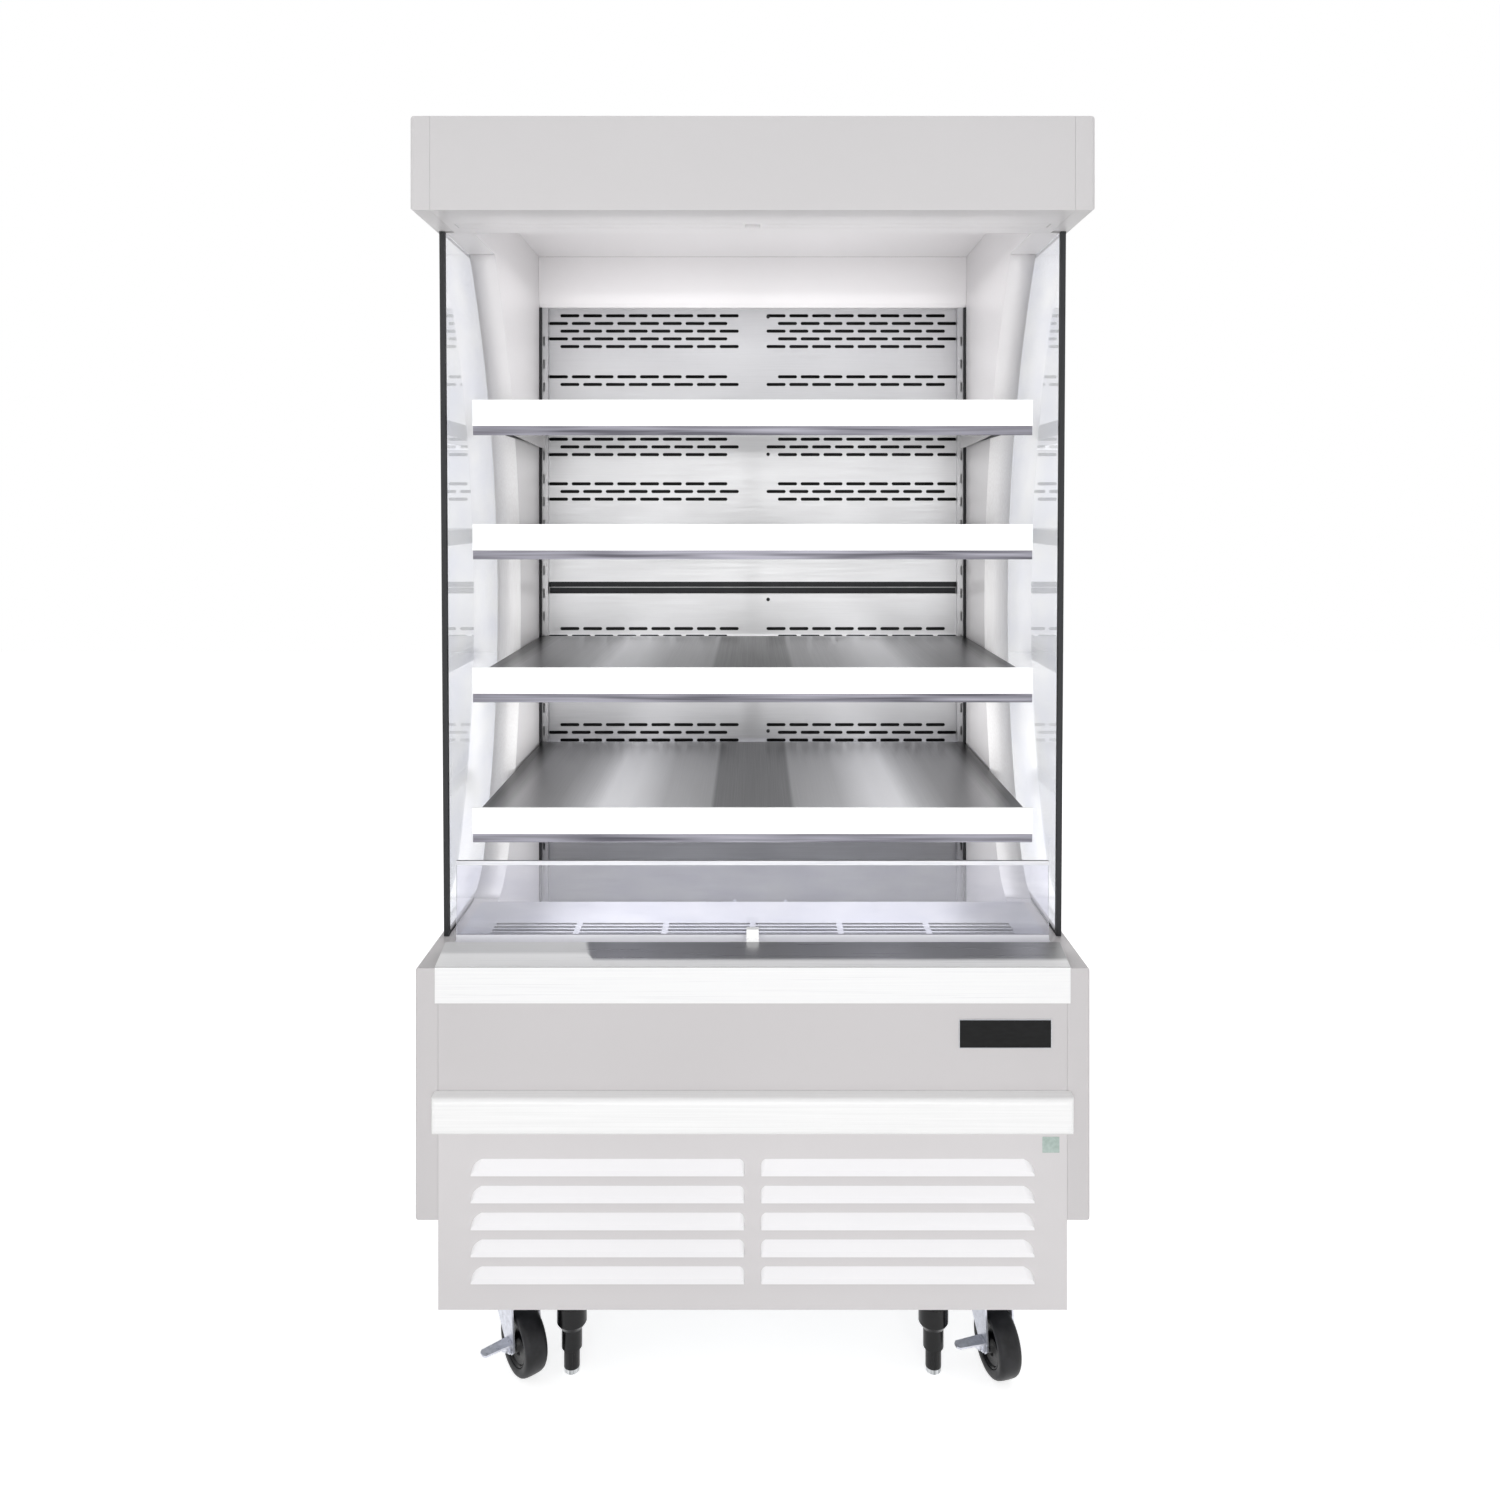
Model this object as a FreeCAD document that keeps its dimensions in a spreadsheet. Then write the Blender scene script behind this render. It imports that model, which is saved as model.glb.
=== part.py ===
import FreeCAD, Part
import math
import os

import Sketcher

# Open multideck display fridge, in millimetres.
# Origin on the floor under the middle of the cabinet; +X right, +Y to the back, +Z up.

doc = FreeCAD.newDocument("display_fridge")
sheet = doc.addObject("Spreadsheet::Sheet", "sizes")
Vector = FreeCAD.Vector

SIZES = [
    # whole cabinet
    ("overall_width", 1056),
    ("overall_depth", 873),
    ("overall_height", 2000),
    ("seat_gap", 0.3),
    ("sheet_metal", 1.5),
    # head
    ("head_height", 145),
    ("cap_width", 31),
    ("cap_skin", 2),
    ("cap_corner", 6.5),
    ("lip_depth", 148),
    ("roof_thickness", 35),
    ("ceiling_duct", 18),
    ("lamp_inset", 88),
    ("lamp_width", 22),
    ("lamp_height", 16),
    ("honeycomb_drop", 38),
    ("honeycomb_thickness", 25),
    ("honeycomb_depth", 88),
    ("honeycomb_cell", 16),
    ("honeycomb_wall", 3),
    # night blind
    ("blind_setback", 98.5),
    ("bar_inset", 48),
    ("bar_depth", 24),
    ("bar_height", 14),
    ("bar_clearance", 1.5),
    ("catch_recess", 9),
    ("film_inset", 63),
    ("film_thickness", 0.6),
    ("film_rest_length", 48),
    ("roller_radius", 22),
    ("roller_inset", 60),
    ("pin_radius", 4),
    ("bore_clearance", 0.05),
    ("catch_width", 20),
    ("catch_depth", 12),
    ("catch_base_width", 76),
    ("catch_height", 19),
    # side walls and glass
    ("inner_wall_inset", 63),
    ("outer_wall_inset", 10.5),
    ("glass_thickness", 6),
    ("glass_top_setback", 134),
    ("glass_foot_setback", 163),
    ("glass_overlap", 40),
    ("throat_setback", 305.5),
    ("waist_setback", 535),
    ("waist_height", 1195),
    ("knee_setback", 421.5),
    ("knee_height", 745),
    ("foot_setback", 304.5),
    ("foot_height", 675),
    ("back_thickness", 50),
    # rear duct and its panels
    ("rear_duct_depth", 70),
    ("cover_reach", 20.5),
    ("cover_drop", 110),
    ("cover_lean", 8),
    ("panel_split_height", 1236),
    ("panel_split_gap", 26),
    ("panel_hem", 14),
    ("slot_length", 42),
    ("slot_height", 7),
    ("slot_edge_margin", 16),
    ("slot_pitch", 50),
    ("slot_row_pitch", 16.9),
    ("slot_group_gap", 61),
    ("vent_share_1", 0.826),
    ("vent_share_2", 0.6365),
    ("vent_share_3", 0.4427),
    ("vent_share_4", 0.3041),
    ("lower_vents_1", 103),
    ("lower_vents_2", 314),
    ("upright_width", 17),
    ("upright_depth", 16.2),
    ("upright_slot_pitch", 50),
    # shelves
    ("shelf_height_1", 1560),
    ("shelf_height_2", 1355),
    ("shelf_height_3", 1119),
    ("shelf_height_4", 888),
    ("shelf_setback", 123.5),
    ("shelf_inset", 68),
    ("shelf_side_drop", 28),
    ("shelf_lip_drop", 43),
    ("shelf_lip_overhang", 1.5),
    ("price_rail_inset", 66.5),
    ("price_rail_height", 43),
    ("price_rail_depth", 4),
    ("price_rail_rise", 15),
    ("bracket_thickness", 3),
    ("bracket_reach", 500),
    ("bracket_root", 30),
    ("bracket_tip", 16),
    # deck
    ("deck_height", 677),
    ("pan_height", 520),
    ("pan_front_setback", 315),
    ("grille_rise", 5),
    ("grille_inset", 38),
    ("guard_setback", 120.5),
    ("guard_thickness", 4),
    ("guard_height", 133),
    ("guard_inset", 41),
    ("guard_channel", 12),
    # lower body
    ("front_setback", 28),
    ("end_panel_width", 36),
    ("end_panel_bottom", 283.5),
    ("end_panel_corner", 10),
    ("panel_bottom", 143),
    ("bumper_bottom", 429),
    ("bumper_height", 56.5),
    ("bumper_depth", 27),
    ("bumper_inset", 31.5),
    ("rail_bottom", 623),
    ("rail_face_height", 57),
    ("rail_depth", 61),
    ("rail_rise", 15),
    ("rail_inset", 31.6),
    ("rail_proud", 2),
    ("tub_bottom", 400),
    ("tub_wall", 40),
    ("tub_lip_height", 655),
    # louvres
    ("louvre_count", 5),
    ("louvre_top", 380),
    ("louvre_pitch", 42),
    ("louvre_height", 23),
    ("louvre_inset", 88),
    ("louvre_middle_gap", 25),
    ("louvre_reach", 9),
    ("louvre_bend_width", 17),
    ("louvre_bend_height", 21),
    # chassis
    ("chassis_bottom", 130),
    ("chassis_tray", 150),
    ("tray_thickness", 15),
    ("chassis_rail", 50),
    ("chassis_inset", 4),
    ("chassis_toe", 24),
    ("post_size", 30),
    # casters and levelling legs
    ("caster_inset", 140.5),
    ("caster_setback", 114.5),
    ("caster_rear_inset", 99.5),
    ("caster_trail", 28),
    ("caster_turn", 16),
    ("caster_turn_front_left", 38),
    ("wheel_radius", 51),
    ("wheel_width", 38),
    ("wheel_gap", 3),
    ("fork_thickness", 3),
    ("axle_radius", 5),
    ("raceway_radius", 27),
    ("raceway_height", 17),
    ("brake_reach", 45.5),
    ("leg_inset", 236.5),
    ("leg_setback", 85.5),
    ("leg_flange_radius", 27.3),
    ("leg_bell_radius", 24),
    ("leg_bell_bottom", 87),
    ("leg_tube_radius", 16.5),
    ("leg_tube_bottom", 46),
    ("leg_stem_radius", 12.8),
    ("leg_foot_radius", 12.4),
    ("leg_foot_height", 8.5),
    ("leg_ground_gap", 6),
    # refrigeration
    ("coil_fin_pitch", 9),
    ("evaporator_inset", 128),
    ("evaporator_depth", 170),
    ("evaporator_height", 66),
    ("evaporator_fan_radius", 80),
    ("condenser_width", 390),
    ("condenser_depth", 60),
    ("condenser_height", 205),
    ("condenser_fan_radius", 90),
    ("compressor_radius", 82),
    ("compressor_height", 190),
    ("motor_radius", 32),
    ("shaft_radius", 4),
    ("box_width", 130),
    ("box_depth", 90),
    ("box_height", 120),
    ("gland_radius", 11),
]

for row, (alias, amount) in enumerate(SIZES, start=1):
    sheet.set("A%d" % row, alias)
    sheet.set("B%d" % row, str(amount))
    sheet.setAlias("B%d" % row, alias)
doc.recompute()


class Length:
    """A length with its present value and the sheet expression that keeps it up to date."""

    def __init__(self, text, value):
        self.text = text
        self.value = value

    def __add__(self, other):
        other = length(other)
        return Length("(%s + %s)" % (self.text, other.text), self.value + other.value)

    def __sub__(self, other):
        other = length(other)
        return Length("(%s - %s)" % (self.text, other.text), self.value - other.value)

    def __rsub__(self, other):
        return length(other) - self

    def __mul__(self, factor):
        factor = length(factor)
        return Length("(%s * %s)" % (self.text, factor.text), self.value * factor.value)

    def __truediv__(self, divisor):
        return Length("(%s / %s)" % (self.text, divisor), self.value / divisor)

    def __neg__(self):
        return Length("(0 - %s)" % self.text, -self.value)

    __radd__ = __add__
    __rmul__ = __mul__


def length(amount):
    """A plain number as a Length; a Length stays as it is."""
    if isinstance(amount, Length):
        return amount
    return Length(repr(amount), float(amount))


def size(alias):
    """A driving dimension of the sheet."""
    return Length("sizes.%s" % alias, float(sheet.get(alias)))


def bind(thing, name, amount):
    """Tie one property of an object to an expression of the sheet."""
    thing.setExpression(name, length(amount).text)


# ---------------------------------------------------------------- shared levels and planes

gap = size("seat_gap")
metal = size("sheet_metal")
half_width = size("overall_width") / 2
front = -size("overall_depth") / 2
back = size("overall_depth") / 2
top = size("overall_height")

head_bottom = top - size("head_height")
cap_seam = half_width - size("cap_width")
cap_skin = size("cap_skin")
lip_back = front + size("lip_depth")
roof_top = top - cap_skin
roof_bottom = roof_top - size("roof_thickness")
ceiling = roof_bottom - size("ceiling_duct")

inner_wall = half_width - size("inner_wall_inset")
outer_wall = half_width - size("outer_wall_inset")
glass_inside = outer_wall - size("glass_thickness")
glass_front_top = front + size("glass_top_setback")
waist_y = front + size("waist_setback")
glass_back = waist_y + size("glass_overlap")
deck_height = size("deck_height")
back_inside = back - size("back_thickness")
duct_front = back_inside - size("rear_duct_depth")

body_front = front + size("front_setback")
base_half = half_width - size("end_panel_width")
tub_floor = size("tub_bottom") + size("tub_wall")
rail_back = body_front + size("rail_depth")
rail_top = size("rail_bottom") + size("rail_face_height")
bumper_bottom = size("bumper_bottom")
bumper_top = bumper_bottom + size("bumper_height")
blind_y = front + size("blind_setback")
tray_top = size("chassis_tray") + size("tray_thickness")
panel_inside = body_front + metal

parts = {}


def keep(name, thing):
    """Name a finished sub-part; its label is the name of its file."""
    thing.Label = name
    parts[name] = thing
    return thing


# ---------------------------------------------------------------- modelling helpers


class Solid:
    """A PartDesign body whose sketches lie in its own origin planes."""

    # what one step along each plane's normal does to the coordinate that the caller gives
    NORMAL = {"XY_Plane": 1, "YZ_Plane": 1, "XZ_Plane": -1}

    def __init__(self, name):
        self.name = name
        self.body = doc.addObject("PartDesign::Body", name)
        self.count = 0

    def place(self, x, y, z, turned=0.0):
        self.body.Placement.Rotation = FreeCAD.Rotation(Vector(0, 0, 1), turned)
        for axis, amount in (("x", x), ("y", y), ("z", z)):
            bind(self.body, "Placement.Base." + axis, amount)

    def sketch(self, plane, offset):
        self.count += 1
        sketch = self.body.newObject("Sketcher::SketchObject", "%s_sketch_%d" % (self.name, self.count))
        support = [item for item in self.body.Origin.OriginFeatures if item.Role == plane][0]
        sketch.AttachmentSupport = [(support, "")]
        sketch.MapMode = "FlatFace"
        bind(sketch, "AttachmentOffset.Base.z", offset)
        return sketch

    def feature(self, kind, sketch):
        feature = self.body.newObject("PartDesign::" + kind, "%s_%s_%d" % (self.name, kind, self.count))
        feature.Profile = sketch
        return feature

    def span(self, plane, low, high):
        """Where the plane's normal starts and ends between two coordinates."""
        if self.NORMAL[plane] > 0:
            return length(low), length(high)
        return -length(high), -length(low)

    def pad(self, plane, draw, low, high):
        """Add a prism from a drawing in the plane, between two coordinates square to it."""
        start, end = self.span(plane, low, high)
        sketch = self.sketch(plane, start)
        draw(sketch)
        feature = self.feature("Pad", sketch)
        bind(feature, "Length", end - start)
        return feature

    def pocket(self, plane, draw, low, high):
        """Cut a prism from a drawing in the plane, between two coordinates square to it."""
        start, end = self.span(plane, low, high)
        sketch = self.sketch(plane, end)
        draw(sketch)
        feature = self.feature("Pocket", sketch)
        bind(feature, "Length", end - start)
        return feature

    def turn(self, plane, draw, axis):
        """Add a solid of revolution about a sketch axis, H_Axis or V_Axis."""
        sketch = self.sketch(plane, 0)
        draw(sketch)
        feature = self.feature("Revolution", sketch)
        feature.ReferenceAxis = (sketch, [axis])
        feature.Angle = 360
        return feature

    def mirror(self, features):
        """Repeat features on the other side of the YZ plane."""
        mirrored = self.body.newObject("PartDesign::Mirrored", "%s_mirror_%d" % (self.name, self.count))
        mirrored.Originals = features
        plane = [item for item in self.body.Origin.OriginFeatures if item.Role == "YZ_Plane"][0]
        mirrored.MirrorPlane = (plane, [""])
        self.body.Tip = mirrored
        return mirrored

    def round(self, radius, wanted):
        """Fillet the edges whose middle point passes the test."""
        doc.recompute()
        base = self.body.Tip
        names = []
        for number, edge in enumerate(base.Shape.Edges, start=1):
            if wanted(edge, edge.BoundBox.Center):
                names.append("Edge%d" % number)
        fillet = self.body.newObject("PartDesign::Fillet", "%s_fillet_%d" % (self.name, self.count))
        fillet.Base = (base, names)
        bind(fillet, "Radius", radius)
        return fillet

    def keep(self):
        return keep(self.name, self.body)


def pin_point(sketch, geometry, end, u, v):
    """Hold one end of a sketch edge at a place given from the sketch's origin."""
    for kind, amount in (("DistanceX", u), ("DistanceY", v)):
        amount = length(amount)
        number = sketch.addConstraint(Sketcher.Constraint(kind, -1, 1, geometry, end, amount.value))
        if "sizes" in amount.text:
            sketch.setExpression("Constraints[%d]" % number, amount.text)


def polygon(*points):
    """A closed outline through points, each a pair of lengths."""

    def draw(sketch):
        first = sketch.GeometryCount
        places = [Vector(length(u).value, length(v).value, 0) for u, v in points]
        total = len(places)
        for index, place in enumerate(places):
            sketch.addGeometry(Part.LineSegment(place, places[(index + 1) % total]), False)
        for index in range(total):
            after = first + (index + 1) % total
            sketch.addConstraint(Sketcher.Constraint("Coincident", first + index, 2, after, 1))
        for index, (u, v) in enumerate(points):
            pin_point(sketch, first + index, 1, u, v)

    return draw


def rectangle(u0, u1, v0, v1):
    return polygon((u0, v0), (u1, v0), (u1, v1), (u0, v1))


def circle(u, v, radius):
    """A circle about a point."""

    def draw(sketch):
        centre = Vector(length(u).value, length(v).value, 0)
        number = sketch.addGeometry(Part.Circle(centre, Vector(0, 0, 1), length(radius).value), False)
        pin_point(sketch, number, 3, u, v)
        held = sketch.addConstraint(Sketcher.Constraint("Radius", number, length(radius).value))
        bind(sketch, "Constraints[%d]" % held, radius)

    return draw


def several(*drawings):
    """More than one closed outline in the same sketch."""

    def draw(sketch):
        for drawing in drawings:
            drawing(sketch)

    return draw


def block(name, x0, x1, y0, y1, z0, z1):
    """A plain box between six coordinates."""
    box = doc.addObject("Part::Box", name)
    for prop, low, high in (("Length", x0, x1), ("Width", y0, y1), ("Height", z0, z1)):
        bind(box, prop, length(high) - low)
    for axis, low in (("x", x0), ("y", y0), ("z", z0)):
        bind(box, "Placement.Base." + axis, low)
    return box


def made(name, shape):
    """A sub-part whose many repeats are easier to say as one shape."""
    feature = doc.addObject("Part::Feature", name)
    feature.Shape = shape
    return keep(name, feature)


def box_shape(x0, x1, y0, y1, z0, z1):
    """A box between six coordinates, as a bare shape."""
    low = [length(amount).value for amount in (x0, y0, z0)]
    high = [length(amount).value for amount in (x1, y1, z1)]
    return Part.makeBox(high[0] - low[0], high[1] - low[1], high[2] - low[2], Vector(*low))


def round_shape(radius, start, end):
    """A cylinder between two points."""
    way = end - start
    return Part.makeCylinder(length(radius).value, way.Length, start, way)


def slot_wire(x, z, y, long, high):
    """A round-ended slot in a plane that faces along Y, centred at x, z."""
    reach = (long - high) / 2
    half = high / 2
    left_top = Vector(x - reach, y, z + half)
    right_top = Vector(x + reach, y, z + half)
    right_low = Vector(x + reach, y, z - half)
    left_low = Vector(x - reach, y, z - half)
    return Part.Wire([
        Part.LineSegment(left_top, right_top).toShape(),
        Part.Arc(right_top, Vector(x + long / 2, y, z), right_low).toShape(),
        Part.LineSegment(right_low, left_low).toShape(),
        Part.Arc(left_low, Vector(x - long / 2, y, z), left_top).toShape(),
    ])


def pierced(outline, holes, thickness):
    """A plate from an outline with holes, made thick along a vector."""
    return Part.makeFace([outline] + holes, "Part::FaceMakerBullseye").extrude(thickness)


# ---------------------------------------------------------------- insulated body


def insulated_body():
    """Foamed shell in one piece: roof, back, tub floor and tub front, narrower below the deck."""
    solid = Solid("insulated_body")
    roof_front = lip_back + gap
    tub_front = panel_inside + size("end_panel_corner")
    wall_back = rail_back - metal - gap
    profile = polygon(
        (roof_front, roof_bottom), (back_inside, roof_bottom), (back_inside, tub_floor),
        (wall_back, tub_floor), (wall_back, size("tub_lip_height")), (tub_front, size("tub_lip_height")),
        (tub_front, size("tub_bottom")), (back, size("tub_bottom")), (back, roof_top), (roof_front, roof_top),
    )
    solid.pad("YZ_Plane", profile, -outer_wall, outer_wall)
    notch = rectangle(base_half - gap, outer_wall + 1, size("tub_bottom") - 1, deck_height + gap)
    side = solid.pocket("XZ_Plane", notch, front, back + 1)
    solid.mirror([side])
    solid.keep()


def side_wall_outline(sketch):
    """Side wall seen from the side: front edge of three arcs from throat to waist to knee to foot."""
    throat = (front + size("throat_setback"), head_bottom)
    waist = (waist_y, size("waist_height"))
    knee = (front + size("knee_setback"), size("knee_height"))
    foot = (front + size("foot_setback"), size("foot_height"))
    wall_front = rail_back + gap
    rear = back_inside - gap
    corners = [
        throat, waist, knee, foot,
        (wall_front, foot[1]), (wall_front, tub_floor + gap), (rear, tub_floor + gap),
        (rear, roof_bottom - gap), (lip_back + gap, roof_bottom - gap), (lip_back + gap, head_bottom),
    ]
    # each arc has its centre level with the waist, or straight above the foot
    centres = [(None, waist[1]), (None, waist[1]), (foot[0], None)]
    places = [Vector(length(u).value, length(v).value, 0) for u, v in corners]
    total = len(places)
    for index, place in enumerate(places):
        after = places[(index + 1) % total]
        if index < len(centres):
            centre = arc_centre(place, after, centres[index])
            sketch.addGeometry(short_arc(place, after, centre), False)
        else:
            sketch.addGeometry(Part.LineSegment(place, after), False)
    # the outline runs clockwise and sketch arcs anticlockwise, so an arc's second end comes first
    ends = [(2, 1) if index < len(centres) else (1, 2) for index in range(total)]
    for index in range(total):
        after = (index + 1) % total
        sketch.addConstraint(Sketcher.Constraint("Coincident", index, ends[index][1], after, ends[after][0]))
    for index, (u, v) in enumerate(corners):
        pin_point(sketch, index, ends[index][0], u, v)
    for index, (u, v) in enumerate(centres):
        kind, amount = ("DistanceX", u) if u is not None else ("DistanceY", v)
        number = sketch.addConstraint(Sketcher.Constraint(kind, -1, 1, index, 3, amount.value))
        bind(sketch, "Constraints[%d]" % number, amount)


def arc_centre(start, end, known):
    """Centre of the circle through two points when one of its coordinates is known."""
    u, v = known
    if u is None:
        v = v.value
        u = (start.x ** 2 - end.x ** 2 + (start.y - v) ** 2 - (end.y - v) ** 2) / (2 * (start.x - end.x))
    else:
        u = u.value
        v = ((start.x - u) ** 2 - (end.x - u) ** 2 + start.y ** 2 - end.y ** 2) / (2 * (start.y - end.y))
    return Vector(u, v, 0)


def short_arc(start, end, centre):
    """The shorter arc about a centre; sketch arcs always run anticlockwise."""
    radius = (start - centre).Length
    circle_line = Part.Circle(centre, Vector(0, 0, 1), radius)
    angle_start = math.atan2(start.y - centre.y, start.x - centre.x)
    angle_end = math.atan2(end.y - centre.y, end.x - centre.x)
    turn = (angle_end - angle_start) % (2 * math.pi)
    if turn > math.pi:
        angle_start, angle_end = angle_end, angle_start
    return Part.ArcOfCircle(circle_line, angle_start, angle_end)


def side_wall(name, side):
    """Foamed side wall, thinner where the glass and the end panel lie outside it."""
    solid = Solid(name)
    low, high = (inner_wall, outer_wall) if side > 0 else (-outer_wall, -inner_wall)
    solid.pad("YZ_Plane", side_wall_outline, low, high)
    glass_seat = glass_inside - gap
    panel_seat = base_half - gap
    beyond = outer_wall + 1
    for inside, y0, y1, z0, z1 in (
        (glass_seat, front, glass_back + gap, deck_height - 1, head_bottom),
        (panel_seat, front, back, tub_floor - 1, deck_height + gap),
    ):
        cut_low, cut_high = (inside, beyond) if side > 0 else (-beyond, -inside)
        solid.pocket("YZ_Plane", rectangle(y0, y1, z0, z1), cut_low, cut_high)
    solid.keep()


def side_glass(name, side):
    """Clear pane outside the wall, its front edge leaning forward at the top."""
    solid = Solid(name)
    low, high = (glass_inside, outer_wall) if side > 0 else (-outer_wall, -glass_inside)
    foot = deck_height + gap
    pane_top = head_bottom - gap
    profile = polygon(
        (glass_front_top, pane_top), (front + size("glass_foot_setback"), foot),
        (glass_back, foot), (glass_back, pane_top),
    )
    solid.pad("YZ_Plane", profile, low, high)
    solid.keep()


# ---------------------------------------------------------------- head


def head_fascia():
    """Front plate of the head with a top flange that covers the roof's front edge."""
    solid = Solid("head_fascia")
    profile = polygon(
        (front, head_bottom), (front + metal, head_bottom), (front + metal, top - metal),
        (lip_back, top - metal), (lip_back, top), (front, top),
    )
    solid.pad("YZ_Plane", profile, gap - cap_seam, cap_seam - gap)
    solid.keep()


def head_cap(name, side):
    """End cap of the head: an open pan, rounded outside, slotted for the wall and the glass."""
    solid = Solid(name)
    low, high = (cap_seam, half_width) if side > 0 else (-half_width, -cap_seam)
    solid.pad("YZ_Plane", rectangle(front, back, head_bottom, top), low, high)

    def outer_edge(edge, centre):
        at_side = abs(abs(centre.x) - half_width.value) < 0.01
        return at_side and (centre.y < back.value - 1)

    solid.round(size("cap_corner"), outer_edge)
    if side > 0:
        skin_low, skin_high = cap_seam - 1, half_width - cap_skin
    else:
        skin_low, skin_high = cap_skin - half_width, 1 - cap_seam
    hollow = rectangle(front + cap_skin, back + 1, head_bottom + cap_skin, top - cap_skin)
    solid.pocket("YZ_Plane", hollow, skin_low, skin_high)
    pass_low, pass_high = (cap_seam - 1, outer_wall + gap) if side > 0 else (-outer_wall - gap, 1 - cap_seam)
    passage = rectangle(glass_front_top - gap, back + 1, head_bottom - 1, head_bottom + cap_skin + 1)
    solid.pocket("YZ_Plane", passage, pass_low, pass_high)
    solid.keep()


def head_soffit():
    """Underside of the head with its rear upstand, a slot for the blind bar and roller brackets."""
    solid = Solid("head_soffit")
    soffit_front = front + metal + gap
    upstand_top = roof_bottom - gap
    profile = polygon(
        (soffit_front, head_bottom), (lip_back, head_bottom), (lip_back, upstand_top),
        (lip_back - metal, upstand_top), (lip_back - metal, head_bottom + metal),
        (soffit_front, head_bottom + metal),
    )
    solid.pad("YZ_Plane", profile, gap - cap_seam, cap_seam - gap)
    bracket_half = size("roller_radius") + 6
    bracket_in = half_width - size("roller_inset") + 8
    bracket_profile = rectangle(
        roller_y - bracket_half, lip_back - metal / 2, head_bottom + metal / 2, roller_z + bracket_half
    )
    bracket = solid.pad("YZ_Plane", bracket_profile, bracket_in, bracket_in + metal)
    bore = circle(roller_y, roller_z, size("pin_radius") + size("bore_clearance"))
    hole = solid.pocket("YZ_Plane", bore, bracket_in - 1, bracket_in + metal + 1)
    solid.mirror([bracket, hole])
    slot_half = size("bar_depth") / 2 + size("bar_clearance")
    slot_reach = half_width - size("bar_inset") + size("bar_clearance")
    slot = rectangle(-slot_reach, slot_reach, blind_y - slot_half, blind_y + slot_half)
    solid.pocket("XY_Plane", slot, head_bottom - 1, head_bottom + size("bar_height") + 4)
    solid.keep()


bar_top = head_bottom + size("bar_height")
roller_y = blind_y - size("roller_radius")
roller_z = bar_top + gap + size("film_rest_length")


def blind_roller():
    """Spring roller with a pin at each end."""
    solid = Solid("blind_roller")
    end = half_width - size("roller_inset")
    pin_end = end + 8 + metal + 2
    radius = size("roller_radius") - gap
    profile = polygon(
        (-pin_end, 0), (pin_end, 0), (pin_end, size("pin_radius")), (end, size("pin_radius")),
        (end, radius), (-end, radius), (-end, size("pin_radius")), (-pin_end, size("pin_radius")),
    )
    solid.turn("XY_Plane", profile, "H_Axis")
    solid.place(0, roller_y, roller_z)
    solid.keep()


def blind_film():
    """The short visible run of film between the roller and the bar."""
    half = half_width - size("film_inset")
    film_front = blind_y
    film_back = film_front + size("film_thickness")
    box = block("blind_film", -half, half, film_front, film_back, bar_top + gap, roller_z)
    keep("blind_film", box)


def blind_pull_bar():
    """Pull bar, parked flush in the soffit; its underside has a recess that takes the catch."""
    solid = Solid("blind_pull_bar")
    half = half_width - size("bar_inset")
    low = blind_y - size("bar_depth") / 2
    high = blind_y + size("bar_depth") / 2
    solid.pad("YZ_Plane", rectangle(low, high, head_bottom, bar_top), -half, half)

    def long_edge(edge, centre):
        return edge.Length > half.value and centre.z > head_bottom.value + 1

    solid.round(size("bar_clearance"), long_edge)
    recess_half = size("catch_width") / 2 + 2
    recess = rectangle(-recess_half, recess_half, low + 3, high - 3)
    solid.pocket("XY_Plane", recess, head_bottom - 1, head_bottom + size("catch_recess"))
    solid.keep()


def blind_catch():
    """Hook block on a back plate behind the deck rail."""
    solid = Solid("blind_catch")
    plate_front = rail_back + gap
    plate_back = plate_front + metal
    catch_top = rail_top + size("rail_rise") + size("catch_height")
    half = size("catch_width") / 2
    wide = size("catch_base_width") / 2
    plate_low = rail_top - size("grille_rise") + 10
    plate_top = rail_top + size("rail_rise")
    solid.pad("XZ_Plane", rectangle(-wide, wide, plate_low, plate_top), plate_front, plate_back)
    hook_back = blind_y + size("catch_depth") / 2
    hook_front = blind_y - size("catch_depth") / 2
    hook = polygon(
        (plate_front, plate_top - 5), (hook_back, plate_top - 5), (hook_back, catch_top),
        (hook_front, catch_top), (hook_front, plate_top + 5), (plate_front, plate_top + 5),
    )
    solid.pad("YZ_Plane", hook, -half, half)
    solid.keep()


def led_lamp():
    """Lamp bar under the ceiling, behind the soffit's upstand."""
    half = half_width - size("lamp_inset")
    lamp_front = lip_back + gap
    lamp_low = head_bottom + metal + 6
    solid = Solid("led_lamp")
    profile = rectangle(lamp_front, lamp_front + size("lamp_width"), lamp_low, lamp_low + size("lamp_height"))
    solid.pad("YZ_Plane", profile, -half, half)

    def lower_back(edge, centre):
        return edge.Length > half.value and centre.y > lamp_front.value + 1

    solid.round(size("lamp_height") / 3, lower_back)
    solid.keep()


honeycomb_top = ceiling - size("honeycomb_drop")
honeycomb_back = lip_back + gap + size("honeycomb_depth")


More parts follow.
